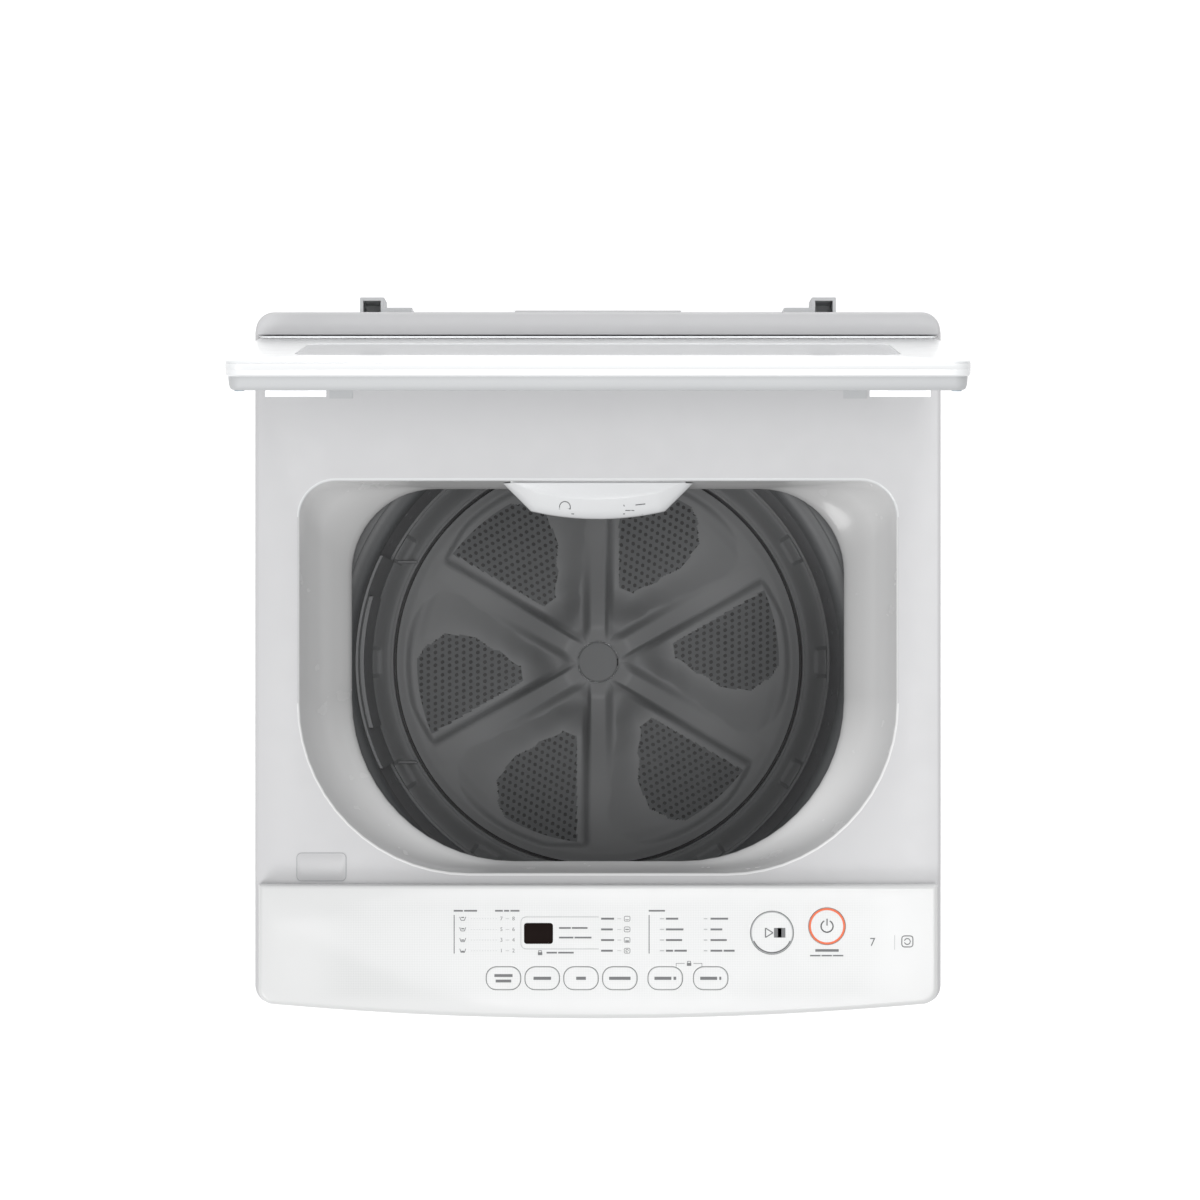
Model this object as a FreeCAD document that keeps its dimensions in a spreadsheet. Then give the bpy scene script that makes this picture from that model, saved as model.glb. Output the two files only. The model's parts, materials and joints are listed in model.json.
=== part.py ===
"""Top load washing machine as a parametric FreeCAD document.

Frame: +Z up, +Y towards the back, +X to the right seen from the front.
Origin: on the floor, under the middle of the machine's bounding box.
Every size is a named cell of the sheet "sizes", in millimetres or degrees.
The lid stands open, which is the rest position of its hinge.
"""
import FreeCAD
import Part
import Sketcher

import math
import os
import re

from FreeCAD import Placement, Rotation, Vector

SIZES = {
    # overall
    "body_width": 530, "body_depth": 544, "deck_height": 898, "hook_reach": 14,
    "tub_setback": 275, "front_bulge": 11, "corner_front": 14, "corner_rear": 15,
    # base and feet
    "foot_height": 20, "foot_radius": 21, "foot_inset": 42, "base_height": 72,
    "base_reveal": 30, "base_wall": 4, "foot_block": 58, "stud_radius": 5,
    "stud_length": 36, "stud_play": 0.05, "pad_height": 8, "nut_radius": 11,
    "nut_height": 6, "screw_gap": 0.3,
    # cabinet
    "steel": 1, "cover_wall": 3, "cover_fit": 0.5, "cover_skirt": 62, "skirt_lap": 12,
    "rear_rim": 22, "screw_head": 4.5, "head_height": 2, "bracket_size": 76,
    "bracket_drop": 16, "bracket_steel": 3,
    # bowl of the top cover
    "bowl_half": 230.5, "bowl_rear": 140, "bowl_front": 163, "bowl_depth": 48,
    "bowl_corner_rear": 28, "bowl_corner_front": 131, "bowl_wall": 2.5,
    "mouth_half": 193, "mouth_rear": 136, "mouth_front": 156.4,
    "mouth_corner_rear": 66, "mouth_corner_front": 127, "guard_drop": 16,
    # console
    "console_depth": 104, "console_wall": 2.5, "console_gap": 1.3, "console_inset": 0.8,
    "overlay_thick": 0.6, "overlay_margin": 5, "button_gap": 0.4, "button_rim": 1.1,
    "button_proud": 0.9, "button_length": 8, "pill_length": 26.5, "pill_width": 17.6,
    "pill_row": 32, "pill_first": -72.6, "pill_pitch": 29.8, "pill_step": 34.9,
    "start_x": 133.7, "start_row": 67, "start_radius": 16.5,
    "power_x": 176, "power_row": 72, "power_radius": 14.1,
    "window_x": -45.7, "window_row": 66.4, "window_width": 22.3, "window_depth": 16.1,
    "board_thick": 1.6, "board_drop": 9.5, "board_width": 330, "board_depth": 70,
    # lid
    "lid_thickness": 21, "lid_gap": 1, "lid_margin": 4, "lid_open": 84.1,
    "lid_shell": 8, "lid_step": 2, "lid_wall": 2.5, "lid_corner": 12,
    "hinge_inset": 43, "hinge_drop": 3, "hinge_play": 0.8, "strip_depth": 16.4,
    "glass_half": 218, "glass_from": 110, "glass_length": 195, "glass_thick": 3.2,
    "glass_ledge": 6, "pin_radius": 4, "pin_play": 0.08,
    "lug_from": 222, "lug_width": 33, "lug_half": 9, "lug_drop": 15.5,
    "slot_from": 210, "slot_width": 47, "slot_reach": 21, "trough_reach": 14,
    "trough_wall": 2.5, "boss_length": 4.5, "boss_radius": 8, "cap_width": 18,
    "cap_height": 0.7, "bumper_radius": 3.5, "bumper_x": 251, "bumper_inset": 9,
    # detergent drawer
    "drawer_half": 68, "drawer_length": 66, "drawer_height": 33, "drawer_drop": 5,
    "drawer_wall": 2, "drawer_play": 0.6, "nose_half": 74, "nose_inner": 48,
    "nose_reach": 28.6, "nose_gap": 5, "nose_round": 90, "housing_wall": 2,
    # outer tub
    "tub_radius": 228, "tub_wall": 3, "tub_floor": 318, "tub_top": 812,
    "tub_floor_thick": 4, "tub_hub": 36, "tub_rim": 6, "cover_lip": 206,
    "cover_rise": 14, "ear_height": 430, "ear_thick": 16, "ear_half": 14,
    # suspension
    "rod_x": 214, "rod_y": 214, "rod_radius": 4, "rod_play": 1, "spring_length": 118,
    "spring_radius": 14, "spring_wire": 1.5, "spring_turns": 7, "seat_radius": 19,
    "seat_thick": 3, "cup_radius": 21, "cup_height": 26, "cup_wall": 2.5,
    "ball_radius": 11,
    # basket
    "drum_radius": 203, "drum_wall": 1, "drum_lap": 20, "hole_radius": 2.6,
    "ring_inner": 192.8, "ring_outer": 216, "ring_height": 50, "ring_top": 820,
    "ring_wall": 3, "ring_chamfer": 6, "base_floor": 343, "base_thick": 4,
    "base_edge": 353, "base_rise": 26, "base_rim": 3, "edge_gap": 1.5,
    "notch_radius": 11, "spider_radius": 112, "spider_thick": 5, "spin_radius": 22,
    "hub_radius": 34, "hub_length": 7,
    # pulsator and drive
    "pulsator_radius": 176.4, "pulsator_thick": 5, "hub_rise": 34, "hub_top": 25,
    "hub_foot": 66, "hub_boss": 20, "vane_width": 15, "vane_from": 22, "cap_radius": 17.6,
    "cap_thick": 4, "cap_gap": 0.3, "shaft_radius": 9, "shaft_play": 0.08,
    "shaft_foot": 270, "spin_foot": 292, "case_radius": 66,
    "case_top": 304, "case_foot": 205, "case_wall": 4, "input_radius": 8,
    "input_play": 0.06, "pulley_radius": 95, "pulley_height": 15, "pulley_z": 156,
    "groove": 6, "belt_height": 9, "belt_thick": 5, "motor_x": 158, "motor_radius": 60,
    "motor_foot": 186, "motor_height": 104, "motor_wall": 6, "rotor_radius": 36,
    "rotor_gap": 1, "motor_pulley": 26, "motor_shaft": 6, "carrier_steel": 3,
    "post_radius": 8, "bearing_outer": 30, "bearing_height": 10, "flange_radius": 60,
    "filter_half": 87.5, "filter_foot": 384, "filter_height": 250, "filter_wall": 3,
    "channel_gap": 1.5,
    "bag_half": 55, "bag_height": 170, "bag_thick": 6, "bag_play": 0.5,
    # services
    "inlet_x": -160, "inlet_drop": 110, "inlet_radius": 13.2, "inlet_length": 10,
    "inlet_bore": 8, "valve_width": 40, "valve_depth": 50, "valve_height": 46,
    "hose_radius": 8, "hose_wall": 2, "inlet_turn": 190, "inlet_rise": 872,
    "outlet_x": 170, "outlet_z": 126, "outlet_radius": 15, "outlet_bore": 12,
    "outlet_length": 13, "drain_x": 100, "drain_y": 150, "drain_radius": 24,
    "drain_height": 64, "gland_x": -200, "gland_z": 150, "gland_radius": 8,
    "collar": 1.5, "collar_length": 3, "neck": 1, "gland_bore": 3.6,
    "gland_length": 10, "hook_x": 175.4, "hook_width": 18.6,
    "hook_wall": 2.5, "hook_height": 60, "hook_drop": 18, "hook_arm": 21.6,
    "hook_plate": 6,
}

# Places worked out from the sizes above, as formulas in the same words.
PLACES = {
    "half_width": "body_width / 2",
    "front_y": "-(body_depth + hook_reach) / 2",
    "shoulder_y": "front_y + front_bulge",
    "rear_y": "front_y + body_depth",
    "tub_y": "front_y + tub_setback",
    "console_top": "deck_height + lid_gap + lid_thickness",
    "cabinet_half": "half_width - cover_wall - cover_fit",
    "cabinet_front": "shoulder_y + cover_wall + cover_fit",
    "cabinet_rear": "rear_y - cover_wall - cover_fit",
    "cabinet_foot": "foot_height + base_reveal",
    "cabinet_top": "deck_height - cover_skirt + skirt_lap",
    "bracket_z": "cabinet_top - bracket_drop",
    "foot_x": "cabinet_half - foot_inset",
    "foot_front": "cabinet_front + foot_inset",
    "foot_rear": "cabinet_rear - foot_inset",
    "rest_y": "front_y + console_depth",
    "hinge_y": "rear_y - hinge_inset",
    "hinge_z": "deck_height - hinge_drop",
    "lid_rise": "console_top - hinge_z",
    "lid_low": "lid_rise - lid_thickness",
    "lid_half": "half_width - lid_margin",
    "lid_reach": "hinge_y - rest_y - console_gap",
    "strip_y": "rear_y - strip_depth",
    "trough_radius": "lid_rise + hinge_play",
    "mouth_z": "deck_height - bowl_depth",
    "wall_y": "tub_y + bowl_rear + bowl_wall",
    "drawer_top": "deck_height - drawer_drop",
    "drawer_foot": "drawer_top - drawer_height",
    "drawer_front": "tub_y + bowl_rear - nose_gap",
    "ring_foot": "ring_top - ring_height",
    "cup_top": "ear_height - ear_thick / 2",
    "spring_top": "cup_top - cup_wall",
    "spring_foot": "spring_top - spring_length",
    "pulsator_z": "base_edge - pulsator_thick",
    "hub_z": "base_edge + hub_rise",
    "case_gap": "tub_floor - case_top",
    "inlet_z": "deck_height - inlet_drop",
    "panel_y": "cabinet_rear - 2 * steel",
}

doc = FreeCAD.newDocument("top_load_washing_machine")
sheet = doc.addObject("Spreadsheet::Sheet", "sizes")
for row, (alias, size) in enumerate(SIZES.items(), start=1):
    sheet.set(f"A{row}", alias)
    sheet.set(f"B{row}", str(size))
    sheet.setAlias(f"B{row}", alias)
doc.recompute()

gauge = doc.addObject("App::FeaturePython", "gauge")
gauge.addProperty("App::PropertyFloat", "Reading")

nodes = []


def formula(words):
    """A formula in the sheet's words as a FreeCAD expression."""
    def swap(found):
        word = found.group(0)
        if word in PLACES:
            return "(" + formula(PLACES[word]) + ")"
        return "sizes." + word if word in SIZES else word
    return re.sub(r"[a-z_]+[a-z0-9_]*", swap, str(words))


def number(words):
    """What a formula comes to now, read off the gauge."""
    gauge.setExpression("Reading", formula(words))
    doc.recompute([gauge])
    return gauge.Reading


def bind(obj, **properties):
    """Ties properties of obj to formulas. A double underscore stands for a dot."""
    for name, words in properties.items():
        obj.setExpression(name.replace("__", "."), formula(words))
    return obj


def place(obj, x=0, y=0, z=0, turn=None):
    """Puts obj's own origin at x, y, z. turn is a Rotation that stays as it is."""
    if turn is not None:
        obj.Placement = Placement(Vector(), turn)
    return bind(obj, Placement__Base__x=x, Placement__Base__y=y, Placement__Base__z=z)


ALONG = {
    "x": Rotation(Vector(0, 1, 0), 90),
    "y": Rotation(Vector(1, 0, 0), -90),
    "z": Rotation(),
}


def box(x, y, z, width, depth, height, name="box"):
    """A block centred on x and y, standing on z."""
    made = doc.addObject("Part::Box", name)
    bind(made, Length=width, Width=depth, Height=height)
    return place(made, f"{x} - ({width}) / 2", f"{y} - ({depth}) / 2", z)


def rod(x, y, z, radius, length, along="z", name="rod"):
    """A cylinder that starts at x, y, z and runs along an axis."""
    made = doc.addObject("Part::Cylinder", name)
    bind(made, Radius=radius, Height=length)
    return place(made, x, y, z, ALONG[along])


def cone(x, y, z, low, high, height, name="cone"):
    made = doc.addObject("Part::Cone", name)
    bind(made, Radius1=low, Radius2=high, Height=height)
    return place(made, x, y, z)


def join(*shapes, name="join"):
    made = doc.addObject("Part::MultiFuse", name)
    made.Shapes = list(shapes)
    made.Refine = True
    return made


def cut(base, *tools, name="cut"):
    made = doc.addObject("Part::Cut", name)
    made.Base = base
    made.Tool = tools[0] if len(tools) == 1 else group(*tools)
    made.Refine = True
    return made


def overlap(a, b, name="overlap"):
    made = doc.addObject("Part::Common", name)
    made.Base, made.Tool = a, b
    return made


def group(*shapes, name="group"):
    made = doc.addObject("Part::Compound", name)
    made.Links = list(shapes)
    return made


def node(label, obj):
    """obj is a finished sub-part, written out under this label."""
    obj.Label = label
    nodes.append(obj)
    return obj


def draw(sketch, corners, bends=None):
    """Closed outline through corners, each an (x, y) pair of formulas.

    bends gives, by the number of the corner that an edge leaves, (radius, way) of an
    arc: way is 1 if it turns to the left on its way to the next corner, or -1.
    """
    bends = bends or {}
    points = [Vector(number(x), number(y), 0) for x, y in corners]
    count = len(points)
    edges, rules, sizes_of = [], [], []
    for i, start in enumerate(points):
        end = points[(i + 1) % count]
        if i not in bends:
            edges.append(Part.LineSegment(start, end))
            continue
        radius, way = number(bends[i][0]), bends[i][1]
        chord = end - start
        side = Vector(-chord.y, chord.x, 0).normalize() * way
        rise = math.sqrt(max(radius ** 2 - chord.Length ** 2 / 4, 0))
        middle = (start + end) / 2 + side * (rise - radius)
        edges.append(Part.Arc(start, middle, end))
    sketch.addGeometry(edges, False)

    def ends(i):
        """Which end of edge i is its start and which its finish: arcs run to the left."""
        return (1, 2) if i not in bends or bends[i][1] > 0 else (2, 1)

    for i in range(count):
        after = (i + 1) % count
        rules.append(Sketcher.Constraint("Coincident", i, ends(i)[1], after, ends(after)[0]))
    for i, (x, y) in enumerate(corners):
        at = ends(i)[0]
        for kind, words, axis, now in (("DistanceX", x, -2, points[i].x),
                                       ("DistanceY", y, -1, points[i].y)):
            if str(words) == "0":
                rules.append(Sketcher.Constraint("PointOnObject", i, at, axis))
            else:
                sizes_of.append((len(rules), words))
                rules.append(Sketcher.Constraint(kind, -1, 1, i, at, now))
        if i in bends:
            sizes_of.append((len(rules), bends[i][0]))
            rules.append(Sketcher.Constraint("Radius", i, number(bends[i][0])))
    sketch.addConstraint(rules)
    for index, words in sizes_of:
        sketch.setExpression(f"Constraints[{index}]", formula(words))
    return sketch


def body_sketch(body, plane, corners, bends=None, level=0):
    """A sketch on one of the body's own planes, level above it."""
    sketch = body.newObject("Sketcher::SketchObject", "sketch")
    flat = next(f for f in body.Origin.OriginFeatures if f.Role == plane)
    sketch.AttachmentSupport = [(flat, "")]
    sketch.MapMode = "FlatFace"
    bind(sketch, AttachmentOffset__Base__z=level)
    return draw(sketch, corners, bends)


def turned(label, corners, bends=None, y="tub_y", z=0):
    """A body of revolution about a vertical axis, from (radius, height) corners."""
    body = doc.addObject("PartDesign::Body", label)
    sketch = body_sketch(body, "XZ_Plane", corners, bends)
    spun = body.newObject("PartDesign::Revolution", "revolution")
    spun.Profile = sketch
    spun.ReferenceAxis = (sketch, ["V_Axis"])
    spun.Angle = 360
    body.Tip = spun
    place(body, 0, y, z)
    return body


def sketch_at(corners, bends=None, z=0, turn=None, x=0, y=0):
    """A sketch of its own, for extrusions, lofts and sweeps that booleans use."""
    sketch = doc.addObject("Sketcher::SketchObject", "sketch")
    place(sketch, x, y, z, turn)
    return draw(sketch, corners, bends)


def extruded(corners, bends, z, height, name="extrusion"):
    made = doc.addObject("Part::Extrusion", name)
    made.Base = sketch_at(corners, bends, z)
    made.DirMode = "Custom"
    made.Dir = Vector(0, 0, 1)
    made.Solid = True
    return bind(made, LengthFwd=height)


def lofted(sections, name="loft"):
    """A solid through sections, each (corners, bends, height)."""
    made = doc.addObject("Part::Loft", name)
    made.Sections = [sketch_at(corners, bends, z) for corners, bends, z in sections]
    made.Solid = True
    made.Ruled = False
    return made


def rounded(x0, x1, y0, y1, radius):
    """A rectangle with one corner radius, run to the left from its lower left."""
    r = radius
    corners = [(f"{x0} + {r}", y0), (f"{x1} - {r}", y0), (x1, f"{y0} + {r}"),
               (x1, f"{y1} - {r}"), (f"{x1} - {r}", y1), (f"{x0} + {r}", y1),
               (x0, f"{y1} - {r}"), (x0, f"{y0} + {r}")]
    return corners, {1: (r, 1), 3: (r, 1), 5: (r, 1), 7: (r, 1)}


def tapered(half, rear, front, rear_corner, front_corner):
    """A rectangle about the tub's axis whose rear corners have a radius of their own."""
    a, b = rear_corner, front_corner
    low, high = f"tub_y - {front}", f"tub_y + {rear}"
    corners = [(f"-({half} - {b})", low), (f"{half} - {b}", low), (half, f"{low} + {b}"),
               (half, f"{high} - {a}"), (f"{half} - {a}", high), (f"-({half} - {a})", high),
               (f"-({half})", f"{high} - {a}"), (f"-({half})", f"{low} + {b}")]
    return corners, {1: (b, 1), 3: (a, 1), 5: (a, 1), 7: (b, 1)}


def cover_outline(inset=0, rear="rear_y", bulged=True):
    """The machine's outline seen from above, drawn in by inset."""
    half, a, b = f"(half_width - {inset})", "corner_rear", "corner_front"
    low, high = f"(shoulder_y + {inset})", f"({rear} - {inset})"
    corners = [(f"-({half} - {b})", low), (f"{half} - {b}", low), (half, f"{low} + {b}"),
               (half, f"{high} - {a}"), (f"{half} - {a}", high), (f"-({half} - {a})", high),
               (f"-{half}", f"{high} - {a}"), (f"-{half}", f"{low} + {b}")]
    bends = {1: (b, 1), 3: (a, 1), 5: (a, 1), 7: (b, 1)}
    if bulged:
        chord = f"({half} - {b})"
        bends[0] = (f"({chord} ^ 2 + front_bulge ^ 2) / (2 * front_bulge)", 1)
    return corners, bends


def frame_outline(inset="0", corner=None):
    """The cabinet's outline seen from above, drawn in by inset."""
    corner = corner or f"(corner_front - {inset})"
    return rounded(f"-(cabinet_half - {inset})", f"(cabinet_half - {inset})",
                   f"(cabinet_front + {inset})", f"(cabinet_rear - {inset})", corner)


def radial(angle, z, radius, length):
    """A rod that runs out from the tub's axis."""
    made = doc.addObject("Part::Cylinder", "radial")
    bind(made, Radius=radius, Height=length)
    return place(made, 0, "tub_y", z, Rotation(Vector(0, 0, 1), angle) * ALONG["x"])


def ring(x, y, z, outer, inner, height):
    """A washer or tube."""
    return cut(rod(x, y, z, outer, height), rod(x, y, f"{z} - 1", inner, f"{height} + 2"))


def swung(obj):
    """Stands a lid piece, drawn shut about the hinge, at the angle it rests open."""
    turn = Rotation(Vector(-1, 0, 0), number("lid_open"))
    place(obj, 0, "hinge_y", "hinge_z", turn)
    return bind(obj, Placement__Rotation__Angle="lid_open")


LEFT_RIGHT = (-1, 1)
CORNERS = [(x, y) for x in LEFT_RIGHT for y in LEFT_RIGHT]


# ---- base and feet ----------------------------------------------------------------
fit = "(2 * steel + cover_fit)"
skirt = extruded(*frame_outline(), "foot_height", "base_reveal")
upstand = extruded(*frame_outline(fit), "foot_height", "base_height")
hollow = extruded(*frame_outline(f"({fit} + base_wall)"), "foot_height - 1",
                  "base_height + 2")
blocks = []
stud_holes = []
for side, end in CORNERS:
    foot_y = "foot_rear" if end > 0 else "foot_front"
    at_x = f"{side} * (cabinet_half - {fit} - base_wall - foot_block / 2 + 1)"
    at_y = (f"cabinet_rear - {fit} - base_wall - foot_block / 2 + 1" if end > 0 else
            f"cabinet_front + {fit} + base_wall + foot_block / 2 - 1")
    blocks.append(box(at_x, at_y, "foot_height", "foot_block", "foot_block", "base_reveal"))
    bore = "stud_radius + stud_play" if (side, end) == (1, -1) else "stud_radius"
    stud_holes.append(rod(f"{side} * foot_x", foot_y, 0, bore, "base_height + foot_height"))
node("base_frame", cut(join(cut(join(skirt, upstand), hollow), *blocks), *stud_holes))

feet = [join(rod(f"{side} * foot_x", foot_y, 0, "foot_radius", "foot_height"),
             rod(f"{side} * foot_x", foot_y, 0, "stud_radius", "foot_height + base_reveal"))
        for side, foot_y in ((-1, "foot_front"), (-1, "foot_rear"), (1, "foot_rear"))]
node("fixed_feet", group(*feet))

node("levelling_foot", join(rod("foot_x", "foot_front", 0, "foot_radius", "pad_height"),
                            rod("foot_x", "foot_front", 0, "stud_radius", "stud_length")))
nut = cut(rod("foot_x", "foot_front", "foot_height - screw_gap - nut_height", "nut_radius",
              "nut_height"),
          rod("foot_x", "foot_front", 0, "stud_radius + stud_play", "foot_height"),
          box("foot_x + nut_radius", "foot_front", 0, "nut_radius / 4", 60, "foot_height"),
          box("foot_x - nut_radius", "foot_front", 0, "nut_radius / 4", 60, "foot_height"))
node("levelling_nut", nut)

# ---- cabinet ----------------------------------------------------------------------
wrap_height = "(cabinet_top - cabinet_foot)"
wrap = cut(extruded(*frame_outline(), "cabinet_foot", wrap_height),
           extruded(*frame_outline("steel"), "cabinet_foot - 1", f"{wrap_height} + 2"),
           box(0, "cabinet_rear", "cabinet_foot - 1", "2 * (cabinet_half - rear_rim)",
               "4 * steel", f"{wrap_height} + 2"))
node("cabinet", wrap)

panel_half = "(cabinet_half - corner_front)"
sheet_metal = box(0, "cabinet_rear - 1.5 * steel", "cabinet_foot", f"2 * {panel_half}",
                  "steel", wrap_height)
ribs = [box(f"{i} * cabinet_half / 3", "cabinet_rear - 0.75 * steel", "cabinet_foot + 260",
            30, "steel / 2", "cabinet_top - cabinet_foot - 400") for i in (-1, 0, 1)]
rear_panel = cut(join(sheet_metal, *ribs),
                 rod("inlet_x", "panel_y - 1", "inlet_z", "inlet_radius + collar", "5", "y"),
                 rod("outlet_x", "panel_y - 1", "outlet_z", "outlet_radius + collar",
                     "5", "y"),
                 rod("gland_x", "panel_y - 1", "gland_z", "gland_radius", "5", "y"))
node("rear_panel", rear_panel)

plates = [box(f"{side} * (cabinet_half - bracket_size / 2)",
              f"(cabinet_rear + cabinet_front) / 2 + {end} * "
              "((cabinet_rear - cabinet_front) / 2 - steel - bracket_size / 2)",
              "bracket_z", "bracket_size", "bracket_size", "bracket_steel")
          for side, end in CORNERS]
inside = cut(extruded(*frame_outline("steel"), "bracket_z", "bracket_steel"),
             *[rod(f"{side} * rod_x", f"tub_y + {end} * rod_y", "bracket_z - 1",
                   "rod_radius", "bracket_steel + 2") for side, end in CORNERS],
             box(0, "cabinet_rear - 1.5 * steel", "bracket_z - 1", f"2 * {panel_half}",
                 "steel", "bracket_steel + 2"))
node("corner_brackets", overlap(group(*plates), inside))

heads = [rod(f"{side} * (cabinet_half - corner_front - 4)", "cabinet_rear", z,
             "screw_head", "head_height", "y")
         for side in LEFT_RIGHT for z in ("cabinet_foot + 30", "cabinet_foot + 280",
                                          "cabinet_top - 260", "cabinet_top - 40")]
node("rear_screws", group(*heads))

# ---- top cover: deck, bowl, hinge trough and raised rear strip ---------------------
under = "(deck_height - cover_wall)"
outside = extruded(*cover_outline(), "deck_height - cover_skirt", "cover_skirt")
inside = extruded(*cover_outline("cover_wall"), "deck_height - cover_skirt - 1",
                  "cover_skirt + 1 - cover_wall")
strip_height = "(console_top - deck_height)"
strip = overlap(extruded(*cover_outline(), "deck_height", strip_height),
                box(0, "(strip_y + rear_y) / 2", "deck_height", "2 * lid_half + 2",
                    "strip_depth", strip_height))
strip_hollow = box(0, "(strip_y + rear_y) / 2 + (bowl_wall - cover_wall) / 2",
                   f"{under} - 1", "2 * lid_half - 6",
                   "strip_depth - bowl_wall - cover_wall",
                   f"{strip_height} + cover_wall + 1 - bowl_wall")

bowl_top = tapered("bowl_half", "bowl_rear", "bowl_front", "bowl_corner_rear",
                   "bowl_corner_front")
bowl_foot = tapered("mouth_half", "mouth_rear", "mouth_front", "mouth_corner_rear",
                    "mouth_corner_front")


def thick(half, rear, front, a, b):
    w = "bowl_wall"
    return tapered(f"({half} + {w})", f"({rear} + {w})", f"({front} + {w})", f"({a} + {w})",
                   f"({b} + {w})")


bowl_skin = lofted([(*thick("bowl_half", "bowl_rear", "bowl_front", "bowl_corner_rear",
                            "bowl_corner_front"), "deck_height"),
                    (*thick("mouth_half", "mouth_rear", "mouth_front",
                            "mouth_corner_rear", "mouth_corner_front"), "mouth_z")])
guard = extruded(*thick("mouth_half", "mouth_rear", "mouth_front", "mouth_corner_rear",
                        "mouth_corner_front"), "mouth_z - guard_drop", "guard_drop")
bowl_space = lofted([(*bowl_top, "deck_height"), (*bowl_foot, "mouth_z")])
guard_space = extruded(*bowl_foot, "mouth_z - guard_drop - 1", "guard_drop + 1")

inner = "2 * (half_width - cover_wall)"
wall = "trough_wall"
trough_foot = "(hinge_z - trough_radius)"


def quarter(radius):
    """The part of the hinge trough that lies behind and below the hinge line."""
    return overlap(rod("-(half_width - cover_wall)", "hinge_y", "hinge_z", radius, inner, "x"),
                   box(0, f"hinge_y + {radius} / 2", f"hinge_z - {radius}", inner, radius,
                       radius))


def trough_box(low_y, high_y, foot, top, low_x="-(half_width - cover_wall)",
               high_x="(half_width - cover_wall)"):
    return box(f"({low_x} + {high_x}) / 2", f"({low_y} + {high_y}) / 2", foot,
               f"{high_x} - {low_x}", f"{high_y} - {low_y}", f"{top} - {foot}")


trough_skin = [quarter("(trough_radius + trough_wall)"),
               trough_box("(hinge_y - trough_reach - trough_wall)", "hinge_y",
                          f"({trough_foot} - {wall})", "deck_height"),
               trough_box("hinge_y", "(hinge_y + trough_radius + trough_wall)",
                          "hinge_z", "deck_height")]
trough_space = [quarter("trough_radius"),
                trough_box("(hinge_y - trough_reach)", "hinge_y", trough_foot,
                           "(deck_height + 1)"),
                trough_box("(hinge_y - trough_reach)", "(hinge_y + trough_radius)",
                           "hinge_z", "(deck_height + 40)")]
slot_skin, slot_space, bosses, pin_holes = [], [], [], []
for side in LEFT_RIGHT:
    low, high = ("slot_from", "(slot_from + slot_width)")
    if side < 0:
        low, high = ("(-slot_from - slot_width)", "(-slot_from)")
    slot_skin.append(trough_box("(hinge_y - slot_reach - trough_wall)",
                                "(hinge_y - trough_reach)",
                                f"({trough_foot} - {wall})", "deck_height",
                                f"({low} - {wall})", f"({high} + {wall})"))
    slot_space.append(trough_box("(hinge_y - slot_reach)", "(hinge_y - trough_reach)",
                                 trough_foot, "(deck_height + 1)", low, high))
    boss_x = "half_width - cover_wall - boss_length" if side > 0 else (
        "-(half_width - cover_wall)")
    bosses.append(rod(boss_x, "hinge_y", "hinge_z", "boss_radius", "boss_length", "x"))
    pin_holes.append(rod("-half_width + 0.5" if side < 0 else "half_width - 10.5",
                         "hinge_y", "hinge_z", "pin_radius", 10, "x"))

slide = "(drawer_half + drawer_play)"
tray_room = box(0, "wall_y + (drawer_length - nose_gap) / 2 - 10",
                "drawer_foot - drawer_play", f"2 * {slide}", "drawer_length + 30",
                "drawer_height + drawer_play + 1")
shell = cut(join(cut(outside, inside), strip, bowl_skin, guard, *trough_skin, *slot_skin),
            bowl_space, guard_space, strip_hollow, *trough_space, *slot_space)
deck_window = box(0, "rest_y - console_depth / 2", f"{under} - 1", "body_width - 80",
                  "console_depth - 36", "cover_wall + 2")
cover = cut(join(shell, *bosses), *pin_holes, tray_room, deck_window)
node("top_cover", cover)

pins = [rod(f"{side} * (half_width - 0.5) - {1 if side > 0 else 0} * (lug_width - 10)",
            "hinge_y", "hinge_z", "pin_radius", "lug_width - 10", "x")
        for side in LEFT_RIGHT]
node("hinge_pins", group(*pins))
caps = [box(f"{side} * (slot_from - cap_width / 2 - trough_wall)",
            "hinge_y - trough_reach - 4.5", "deck_height", "cap_width", "8", "cap_height")
        for side in LEFT_RIGHT]
node("hinge_caps", group(*caps))

hooks = []
for side in LEFT_RIGHT:
    foot = "deck_height - hook_drop - hook_height"
    loop = box(f"{side} * hook_x", "rear_y + hook_reach / 2", foot, "hook_width",
               "hook_reach", "hook_height")
    gap = box(f"{side} * hook_x", "rear_y + (hook_reach - hook_wall) / 2 - 1",
              f"{foot} + hook_wall", "hook_width - 2 * hook_wall",
              "hook_reach - hook_wall + 2", "hook_height")
    arm = box(f"{side} * (hook_x - hook_width / 2 - hook_arm / 2)",
              "rear_y + hook_plate / 2", foot, "hook_arm", "hook_plate", "hook_height")
    hooks.append(join(cut(loop, gap), arm))
node("hose_hooks", group(*hooks))

# ---- console ----------------------------------------------------------------------


def console_outline(inset):
    """The console seen from above, drawn in by inset."""
    half, a = f"(lid_half - {inset})", "(corner_front - 2)"
    low = f"(shoulder_y + console_inset + {inset})"
    high = f"(rest_y - {inset})"
    corners = [(f"-({half} - {a})", low), (f"{half} - {a}", low), (half, f"{low} + {a}"),
               (half, high), (f"-{half}", high), (f"-{half}", f"{low} + {a}")]
    chord = f"({half} - {a})"
    return corners, {0: (f"({chord} ^ 2 + front_bulge ^ 2) / (2 * front_bulge)", 1),
                     1: (a, 1), 5: (a, 1)}


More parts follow.
